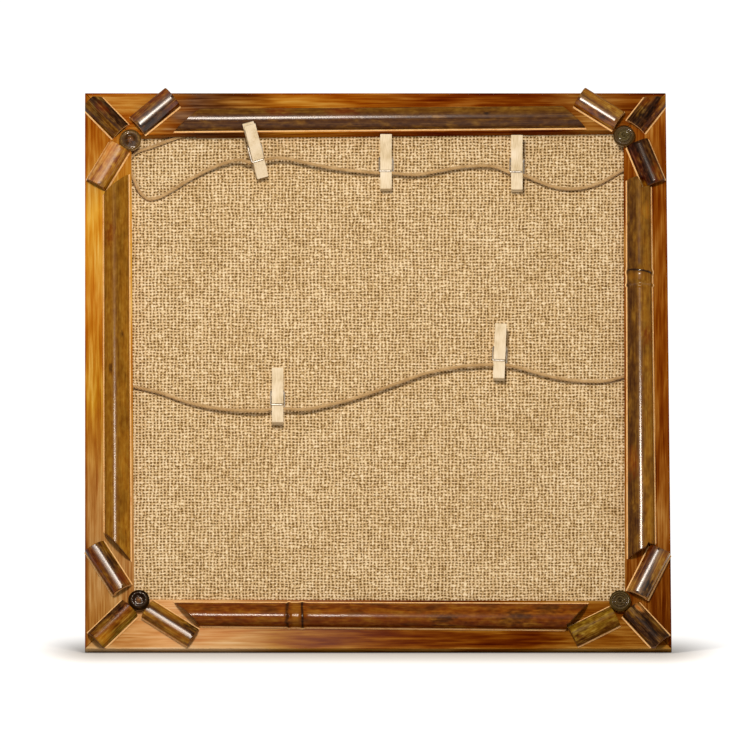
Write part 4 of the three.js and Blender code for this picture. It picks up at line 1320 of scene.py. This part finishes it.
# Colours at the centre, on the beads, further out and at the rim. The pale centres of the top left and
# bottom left buttons are partly the wood's own colour and partly a painted highlight on the dome.
BUTTON_TONES_AND_PAINTED_HIGHLIGHT = {
    "top_left": ("#8a5c34", "#3c2412", "#50381c", "#8c6e3c"),
    "top_right": ("#5e5030", "#6e623c", "#4a3a20", "#5e4624"),
    "bottom_left": ("#a8764a", "#28160c", "#2a1a0e", "#3c2814"),
    "bottom_right": ("#4c3c22", "#6c5a36", "#4a3a20", "#6e5c30"),
}
for corner, tones in BUTTON_TONES_AND_PAINTED_HIGHLIGHT.items():
    finish = ebonised(f"ebonised wood, {corner.replace('_', ' ')}", button_centre(corner), tones)
    mesh = button_mesh(corner)
    add_piece(
        f"turned_button_{corner}", mesh, [finish], stands_for=[f"button_{corner}"]
    )
print("buttons", len(BUTTON_TONES_AND_PAINTED_HIGHLIGHT))

# %% [markdown]
# Flat boards
#
# The frame itself is four flat laminated bamboo boards, mitred at the corners, whose shape is right in
# the imported model. They keep it, get a small bevel on every arris, and a golden finish whose fibres
# run along each rail, under a faint lacquer coat. Their tones are partly painted sheen: the left part of
# the bottom board and the low end of the left board are painted paler where the lamp's reflection falls,
# and a greyish brown patch on the top board near its left end is a painted reflection.

# %% Dressing for imported nodes
def dress(name, material, bevel=0.0):
    """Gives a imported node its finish, and rounds its arrises."""
    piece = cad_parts[name]
    for holder in piece.material_slots:
        holder.link = "OBJECT"
        holder.material = material
    if bevel:
        modifier = piece.modifiers.new("arris", "BEVEL")
        modifier.width = bevel
        modifier.segments = 2
        modifier.limit_method = "ANGLE"
        modifier.angle_limit = math.radians(30)
        modifier.harden_normals = True
    return piece


# Laminated bamboo: pressed strips, lacquered, with fine fibre streaks along the strip.
# Patterns in it: length along the grain, breadth across it, and detail
BOARD_FIELDS = [(26 * MM, 1.0 * MM, 5.0), (34 * MM, 6 * MM, 3.0)]
ARRIS_REACH = 2.4 * MM
STRIP_RELIEF = 0.05 * MM


def board_bamboo(name, tones, angle, outer, splay, arris_tone, seed):
    """Laminated bamboo. tones go from its low or left end to the other, by share. outer is how far its
    outer arris lies beside the middle of the board, splay its slope, and the number after splay how its
    colour changes towards that arris: above 1 it is darker than the face, below 1 paler."""
    material, tree, shader, place = new_material(name)
    middle = BOARD_HEIGHT / 2
    grain = node(tree, "Mapping", {"Vector": place, **grain_axes(angle, 0, middle)})
    strips, patches = grain_fields(tree, grain, BOARD_FIELDS, seed)
    axes = node(tree, "SeparateXYZ", {"Vector": grain}).outputs
    share = node(tree, "MapRange", {"Value": axes["X"], "From Min": -middle, "From Max": middle})
    shifted = node(tree, "Math", {0: patches, 1: 0.16, 2: share}, operation="MULTIPLY_ADD")
    centred = node(tree, "Math", {0: shifted, 1: 0.08}, operation="SUBTRACT")
    colour = node(tree, "ValToRGB", {"Fac": centred}, stops=tones)
    arris = node(tree, "Math", {0: axes["X"], 1: -splay, 2: axes["Z"]}, operation="MULTIPLY_ADD")
    off = node(tree, "Math", {0: arris, 1: outer}, operation="SUBTRACT")
    far = node(tree, "Math", {0: off}, operation="ABSOLUTE")
    colour = deepened(tree, colour, strips, 0.32, 0.68, 1.38, 0.74)
    colour = deepened(tree, colour, patches, 0.32, 0.68, 1.4, 0.72)
    # The colour turns darker towards the outer arris; on the bottom board it turns paler there
    colour = deepened(tree, colour, far, 0.0, ARRIS_REACH, arris_tone, 1.0)
    relief = node(tree, "Bump", {"Height": strips, "Strength": 0.15, "Distance": STRIP_RELIEF})
    feed(tree, shader, {"Base Color": colour, "Normal": relief})
    feed(tree, shader, {"Roughness": 0.5, "Specular IOR Level": 0.0})
    feed(tree, shader, {"Coat Weight": 0.012, "Coat Roughness": 0.12})
    return material


# Tones along each board, from its low or left end, by share. The pale tones at the bottom board's left
# part and the left board's low end are partly painted sheen, and the greyish brown near the left end of
# the top board is a painted reflection.
BOARD_TONES_AND_PAINTED_SHEEN = {
    "left": [
        (0.0, "#b88a48"), (0.12, "#b08044"), (0.2, "#ba8e54"), (0.3, "#b07e3e"),
        (0.45, "#bb841e"), (0.62, "#cc9238"), (0.78, "#e0b04a"), (0.9, "#ac6a1c"),
        (1.0, "#a86a1c"),
    ],
    "right": [(0.0, "#7c4810"), (0.2, "#945c20"), (0.5, "#8f5212"), (0.85, "#8c4f12"), (1.0, "#a0601c")],
    "top": [
        (0.0, "#a8641c"), (0.1, "#b87c2e"), (0.14, "#986024"), (0.18, "#6e4c34"),
        (0.24, "#74481c"), (0.36, "#b0701c"), (0.46, "#a8681a"), (0.58, "#803e08"),
        (0.78, "#7e400a"), (0.86, "#a27030"), (0.94, "#7e420a"),
    ],
    "bottom": [
        (0.0, "#c0945a"), (0.14, "#deac72"), (0.26, "#cc9a5c"), (0.33, "#a2681e"),
        (0.39, "#884a08"), (0.62, "#703604"), (0.76, "#783e04"), (0.84, "#94601c"),
        (1.0, "#80480c"),
    ],
}
SPLAY = BOARD_FLARE / BOARD_HEIGHT
# Grain angle, outer arris, splay, and how the colour changes towards the arris: above 1 darker, below 1
# paler
BOARD_EDGES = {
    "left": (QUARTER_TURN, -BOARD_LEFT, 0.0, 1.5),
    "right": (QUARTER_TURN, -right_edge(BOARD_HEIGHT / 2), SPLAY, 1.2),
    "top": (0.0, BOARD_HEIGHT / 2, 0.0, 1.3),
    "bottom": (0.0, -BOARD_HEIGHT / 2, 0.0, 0.6),
}
BOARD_ARRIS = 0.45 * MM
for number, (rail, tones) in enumerate(BOARD_TONES_AND_PAINTED_SHEEN.items()):
    finish = board_bamboo(f"laminated bamboo, {rail} board", tones, *BOARD_EDGES[rail], number * 4.1)
    dress(f"base_board_{rail}", finish, BOARD_ARRIS)
print("boards", len(BOARD_TONES_AND_PAINTED_SHEEN))

# %% [markdown]
# Clothespins
#
# Each clip is two birch legs and a wound spring. Birch is pale and dull, with a faint grain and a few
# darker flecks.

# %% Birch and spring wire
BIRCH_FIBRE = (12 * MM, 0.5 * MM, 0.5 * MM)
BIRCH_BLUSH = 9 * MM
BIRCH_RELIEF = 0.05 * MM
WIRE_SMUDGE = 0.8 * MM
WIRE_STOPS = [(0.3, "#c4beb4"), (0.7, "#e8e4dc")]


def birch(name, roll):
    """Unfinished birch, milled, with grain along the leg."""
    material, tree, shader, place = new_material(name)
    grain = node(tree, "Mapping", {"Vector": place, **grain_axes(QUARTER_TURN + roll)})
    stretch = tuple(1 / size for size in BIRCH_FIBRE)
    space = node(tree, "VectorMath", {0: grain, 1: stretch}, operation="MULTIPLY")
    fibre = node(tree, "TexNoise", {"Vector": space, "Scale": 1.0, "Detail": 4.0, "Roughness": 0.6})
    blush = node(tree, "TexNoise", {"Vector": place, "Scale": 1 / BIRCH_BLUSH, "Detail": 1.0})
    level = node(tree, "Math", {0: blush, 1: 0.5}, operation="MULTIPLY")
    level = node(tree, "Math", {0: fibre, 1: 0.5, 2: level}, operation="MULTIPLY_ADD")
    stops = [(0.34, "#d2bf98"), (0.5, "#eddfc2"), (0.66, "#f6ecd6")]
    colour = node(tree, "ValToRGB", {"Fac": level}, stops=stops)
    relief = node(tree, "Bump", {"Height": fibre, "Strength": 0.3, "Distance": BIRCH_RELIEF})
    feed(tree, shader, {"Base Color": colour, "Normal": relief})
    feed(tree, shader, {"Roughness": 0.65, "Specular IOR Level": 0.3})
    return material


def bare_metal(name, pattern, scale, stops, smooth, dull):
    """Bare metal whose colour and roughness follow one pattern."""
    material, tree, shader, place = new_material(name)
    marks = node(tree, pattern, {"Vector": place, **scale})
    colour = node(tree, "ValToRGB", {"Fac": marks}, stops=stops)
    rough = node(tree, "MapRange", {"Value": marks, "To Min": smooth, "To Max": dull})
    feed(tree, shader, {"Base Color": colour, "Roughness": rough, "Metallic": 1.0})
    return material


# Spring steel wire: drawn and tinned, grey and bright along its crest.
smudges = {"Scale": 1 / WIRE_SMUDGE, "Detail": 3.0}
steel_wire = bare_metal("spring steel wire, drawn", "TexNoise", smudges, WIRE_STOPS, 0.28, 0.45)


# %% Clip sizes
CLIP_LENGTH = 34 * MM
CLIP_WIDTH = 7 * MM
JAW_THICKNESS = 3.4 * MM
HANDLE_SPREAD = 4.9 * MM
SCOOP_HEIGHT = 10.1 * MM
SCOOP_LENGTH = 6 * MM
COIL_HEIGHT = 19 * MM
ARM_HEIGHT = 11 * MM
ARM_GROOVE = 0.9 * MM
WIRE_DIAMETER = 0.8 * MM
COIL_DIAMETER = 3.95 * MM
COIL_TURNS = 6
ARM_BEND = 0.9 * MM
CLIP_SPLAY = math.atan2(HANDLE_SPREAD - JAW_THICKNESS, CLIP_LENGTH)

# Twine, route point, seat share, roll and pitch in degrees
CLIPS = [
    ("upper", 15, 0, -16, 28.5),
    ("upper", 22, -0.1, 0, math.degrees(CLIP_SPLAY)),
    ("upper", 28, -0.1, 0, math.degrees(CLIP_SPLAY)),
    ("lower", 8, 0.17, 0, math.degrees(CLIP_SPLAY)),
    ("lower", 20, 0.17, 2.2, math.degrees(CLIP_SPLAY)),
]

leg_face = JAW_THICKNESS + (HANDLE_SPREAD - JAW_THICKNESS) * ARM_HEIGHT / CLIP_LENGTH
ARM_OUT = leg_face - ARM_GROOVE + CLEARANCE + WIRE_DIAMETER / 2
ARM_SIDE = CLIP_WIDTH / 2 + CLEARANCE + WIRE_DIAMETER / 2


def clip_matrix(on, after, seat_share, roll, pitch):
    """Takes a clip's own coordinates, from the middle of its coil, to board coordinates."""
    route = route_points(on)
    middle = (route[after] + route[after + 1]) / 2
    pitch = math.radians(pitch)
    tip_back = SCOOP_HEIGHT * math.sin(pitch) + JAW_THICKNESS * math.cos(pitch)
    arm_rise = ARM_HEIGHT - SCOOP_HEIGHT
    wire_back = (ARM_OUT + WIRE_DIAMETER / 2) * math.cos(pitch) - arm_rise * math.sin(pitch)
    spot = (middle[0], middle[1] + seat_share * SCOOP_LENGTH, max(tip_back, wire_back))
    turn = Matrix.Rotation(-math.radians(roll), 4, "Z") @ Matrix.Rotation(pitch, 4, "X")
    return Matrix.Translation(spot) @ turn @ Matrix.Translation((0, COIL_HEIGHT - SCOOP_HEIGHT, 0))


# %% Spring line
def spring_line():
    """The wire's centre line in a clip's coordinates: across, up and out."""
    drop = COIL_HEIGHT - ARM_HEIGHT
    coil_radius = (COIL_DIAMETER - WIRE_DIAMETER) / 2
    lead = math.atan2(-drop, ARM_OUT) + math.acos(coil_radius / math.hypot(ARM_OUT, drop))
    sweep = math.pi - 2 * lead + 2 * math.pi * COIL_TURNS
    turns = np.linspace(lead, lead + sweep, 24 * COIL_TURNS)
    across = np.linspace(-ARM_SIDE, ARM_SIDE, len(turns))
    coil = np.stack([across, coil_radius * np.sin(turns), coil_radius * np.cos(turns)], axis=1)
    arm_end = CLIP_WIDTH / 2 - CLEARANCE
    corner = np.array((-ARM_SIDE, -drop, ARM_OUT))
    rise = coil[0] - corner
    rise /= np.linalg.norm(rise)
    level = np.array((1.0, 0, 0))
    bend_turns = np.linspace(0, 1, 8)[:, None]
    from_arm, to_rise = corner + level * ARM_BEND, corner + rise * ARM_BEND
    bend = from_arm * (1 - bend_turns) ** 2 + 2 * corner * bend_turns * (1 - bend_turns)
    bend = bend + to_rise * bend_turns**2
    arm = np.linspace((arm_end, -drop, ARM_OUT), from_arm, 10)[:-1]
    leg = np.linspace(to_rise, coil[0], 10)[1:-1]
    front = np.concatenate([arm, bend, leg])
    rear = (front * np.array((-1, 1, -1)))[::-1]
    return np.concatenate([front, coil, rear])


# %% Clips
WIRE_SIDES = 10
CLIP_ARRIS = 0.25 * MM

for number, place in enumerate(CLIPS, start=1):
    to_board = clip_matrix(*place)
    line = np.array([to_board @ Vector(p) for p in spring_line()])
    rings = swept_rings(line, np.full(len(line), WIRE_DIAMETER / 2), WIRE_SIDES)
    points, faces = [], []
    gather_tube(points, faces, rings)
    label = f"wound_spring_{number}"
    spring = add_piece(
        label,
        make_mesh(label, points, faces),
        [steel_wire],
        body=None,
        stands_for=[f"clip_{number}_spring"],
    )
    reach = COIL_DIAMETER / 2
    start, end = (FROM_BOARD @ to_board @ Vector((0, 0, out)) for out in (reach, -reach))
    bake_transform(spring)
    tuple(start)
    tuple(end)
    wood = birch(f"birch, clip {number}", -math.radians(place[3]))
    for leg in ("front_leg", "rear_leg"):
        dress(f"clip_{number}_{leg}", wood, CLIP_ARRIS)
print("clips", len(CLIPS))

# %% [markdown]
# The back
#
# Nothing of the back shows in the photograph, so all of it is a guess: a thin panel of
# hardboard and a stained wooden leg, hung on a folded bracket of zinc-plated sheet steel.

# %% Back materials
PANEL_SPECK = 1.5 * MM
PANEL_CLOUD = 40 * MM
PANEL_RELIEF = 0.1 * MM
LEG_GRAIN = (1.1 * MM, 4 * MM, 40 * MM)
LEG_RELIEF = 0.08 * MM
SPANGLE = 2.5 * MM
ZINC_STOPS = [(0.0, "#a5a9ab"), (0.8, "#c3c5c4")]


def hardboard():
    """Hardboard: pressed wood fibre, brown, dull, with darker specks."""
    material, tree, shader, place = new_material("hardboard, pressed fibre")
    fibre = node(tree, "TexNoise", {"Vector": place, "Scale": 1 / PANEL_SPECK, "Detail": 5.0})
    cloud = node(tree, "TexNoise", {"Vector": place, "Scale": 1 / PANEL_CLOUD, "Detail": 2.0})
    level = node(tree, "Math", {0: cloud, 1: 0.4}, operation="MULTIPLY")
    level = node(tree, "Math", {0: fibre, 1: 0.6, 2: level}, operation="MULTIPLY_ADD")
    stops = [(0.35, "#4e321c"), (0.55, "#75502f"), (0.7, "#8d6740")]
    colour = node(tree, "ValToRGB", {"Fac": level}, stops=stops)
    relief = node(tree, "Bump", {"Height": fibre, "Strength": 0.4, "Distance": PANEL_RELIEF})
    feed(tree, shader, {"Base Color": colour, "Normal": relief, "Roughness": 0.75})
    return material


def strut_wood():
    """Stained poplar, planed: brown, satin, with straight grain along the leg."""
    material, tree, shader, place = new_material("poplar, stained")
    stretch = tuple(1 / size for size in LEG_GRAIN)
    space = node(tree, "VectorMath", {0: place, 1: stretch}, operation="MULTIPLY")
    fibre = node(tree, "TexNoise", {"Vector": space, "Scale": 1.0, "Detail": 5.0})
    stops = [(0.32, "#4c2a12"), (0.52, "#7b4b22"), (0.7, "#95632f")]
    colour = node(tree, "ValToRGB", {"Fac": fibre}, stops=stops)
    relief = node(tree, "Bump", {"Height": fibre, "Strength": 0.3, "Distance": LEG_RELIEF})
    feed(tree, shader, {"Base Color": colour, "Normal": relief, "Roughness": 0.5})
    return material


# Zinc plate: blue-grey metal with the faint spangle of its crystals.
zinc = bare_metal("zinc-plated steel sheet", "TexVoronoi", {"Scale": 1 / SPANGLE}, ZINC_STOPS, 0.3, 0.5)

# %% Dress the back
PANEL_ARRIS = 0.3 * MM
LEG_ARRIS = 0.6 * MM
METAL_ARRIS = 0.15 * MM
METAL_PIECES = ("strut_bracket", "strut_pin", "bracket_rivet_1", "bracket_rivet_2")

dress("backing_panel", hardboard(), PANEL_ARRIS)
dress("strut", strut_wood(), LEG_ARRIS)
for name in METAL_PIECES:
    dress(name, zinc, METAL_ARRIS)
print("metal pieces", len(METAL_PIECES))

# %% [markdown]
# Floor and light
#
# The board stands on white paper. One lamp in front of it gives every crest its highlight, and an even
# pale surrounding fills the shadows. The paper glows a little to the camera and in reflections, so that
# it stays white; its glow is weaker near the board's foot, which paints a soft shadow there on top of
# the real one.

# %% Floor
FLOOR_HALF = 60.0
FLOOR_DROP = 0.2 * MM
FAR_GLOW = 0.9
# Glow near the board's foot, lower than far away: a painted shadow round the foot
PAINTED_SHADOW_GLOW = 0.16
PAINTED_SHADOW_REACH = 0.5
FOOT_HALF = 0.17
SIDE_STRETCH = 9

# Steps from a place on the paper to its distance from the foot of the board
AWAY_STEPS = [
    ("ADD", (0, -BACK_EDGE_Y, 0)),
    ("ABSOLUTE",),
    ("SUBTRACT", (FOOT_HALF, 0, 0)),
    ("MAXIMUM", (0, 0, 0)),
    ("MULTIPLY", (SIDE_STRETCH, 1, 1)),
    ("LENGTH",),
]

floor_mesh = bpy.data.meshes.new("paper_floor")
rim = [(x * FLOOR_HALF, y * FLOOR_HALF, 0) for x, y in ((-1, -1), (1, -1), (1, 1), (-1, 1))]
floor_mesh.from_pydata(rim, [], [(0, 1, 2, 3)])
floor = link_object("paper_floor", floor_mesh)
floor.location.z = -FLOOR_DROP

paper, tree, shader, away = new_material("studio paper")
rays = node(tree, "LightPath").outputs
seen = rays["Is Camera Ray"]
for ray in ("Is Glossy Ray", "Is Transmission Ray"):
    seen = node(tree, "Math", {0: seen, 1: rays[ray]}, operation="MAXIMUM")
for operation, *operand in AWAY_STEPS:
    away = node(tree, "VectorMath", dict(enumerate([away, *operand])), operation=operation)
# The glow fades from far to near the board, stretched along its sides: a painted shadow
painted_shadow_fade = {"From Max": PAINTED_SHADOW_REACH, "To Min": PAINTED_SHADOW_GLOW, "To Max": FAR_GLOW}
painted_shadow_fade["Value"] = away.outputs["Value"]
level = node(tree, "MapRange", painted_shadow_fade, interpolation_type="SMOOTHSTEP")
glow = node(tree, "Math", {0: seen, 1: level}, operation="MULTIPLY")
feed(tree, shader, {"Base Color": linear("#c8c8c8"), "Roughness": 1.0, "Specular IOR Level": 0.0})
feed(tree, shader, {"Emission Color": (1, 1, 1, 1), "Emission Strength": glow})
floor_mesh.materials.append(paper)
print("floor", floor.name)

# %% Lamp and world
KEY_RISE = math.radians(36.5)
KEY_DISTANCE = 1.0
KEY_WIDTH = 0.12
KEY_HEIGHT = 0.17
KEY_POWER = 6.8
KEY_SPOT = (-75 * MM, 72 * MM, 15 * MM)
WORLD_STRENGTH = 0.36

lamp = bpy.data.lights.new("key lamp", "AREA")
lamp.shape = "RECTANGLE"
lamp.size = KEY_WIDTH
lamp.size_y = KEY_HEIGHT
lamp.energy = KEY_POWER
lamp.color = linear("#fff2e4")[:3]
key = link_object("key lamp", lamp)
towards_key = Vector((0, -math.cos(KEY_RISE), math.sin(KEY_RISE)))
key.location = on_board(*KEY_SPOT) + towards_key * KEY_DISTANCE
key.rotation_euler = towards_key.to_track_quat("Z", "Y").to_euler()

world = bpy.data.worlds.new("studio")
bpy.context.scene.world = world
world.use_nodes = True
background = world.node_tree.nodes["Background"]
feed(world.node_tree, background, {"Color": linear("#fff0dc"), "Strength": WORLD_STRENGTH})
print("lamp", lamp.energy, "W")
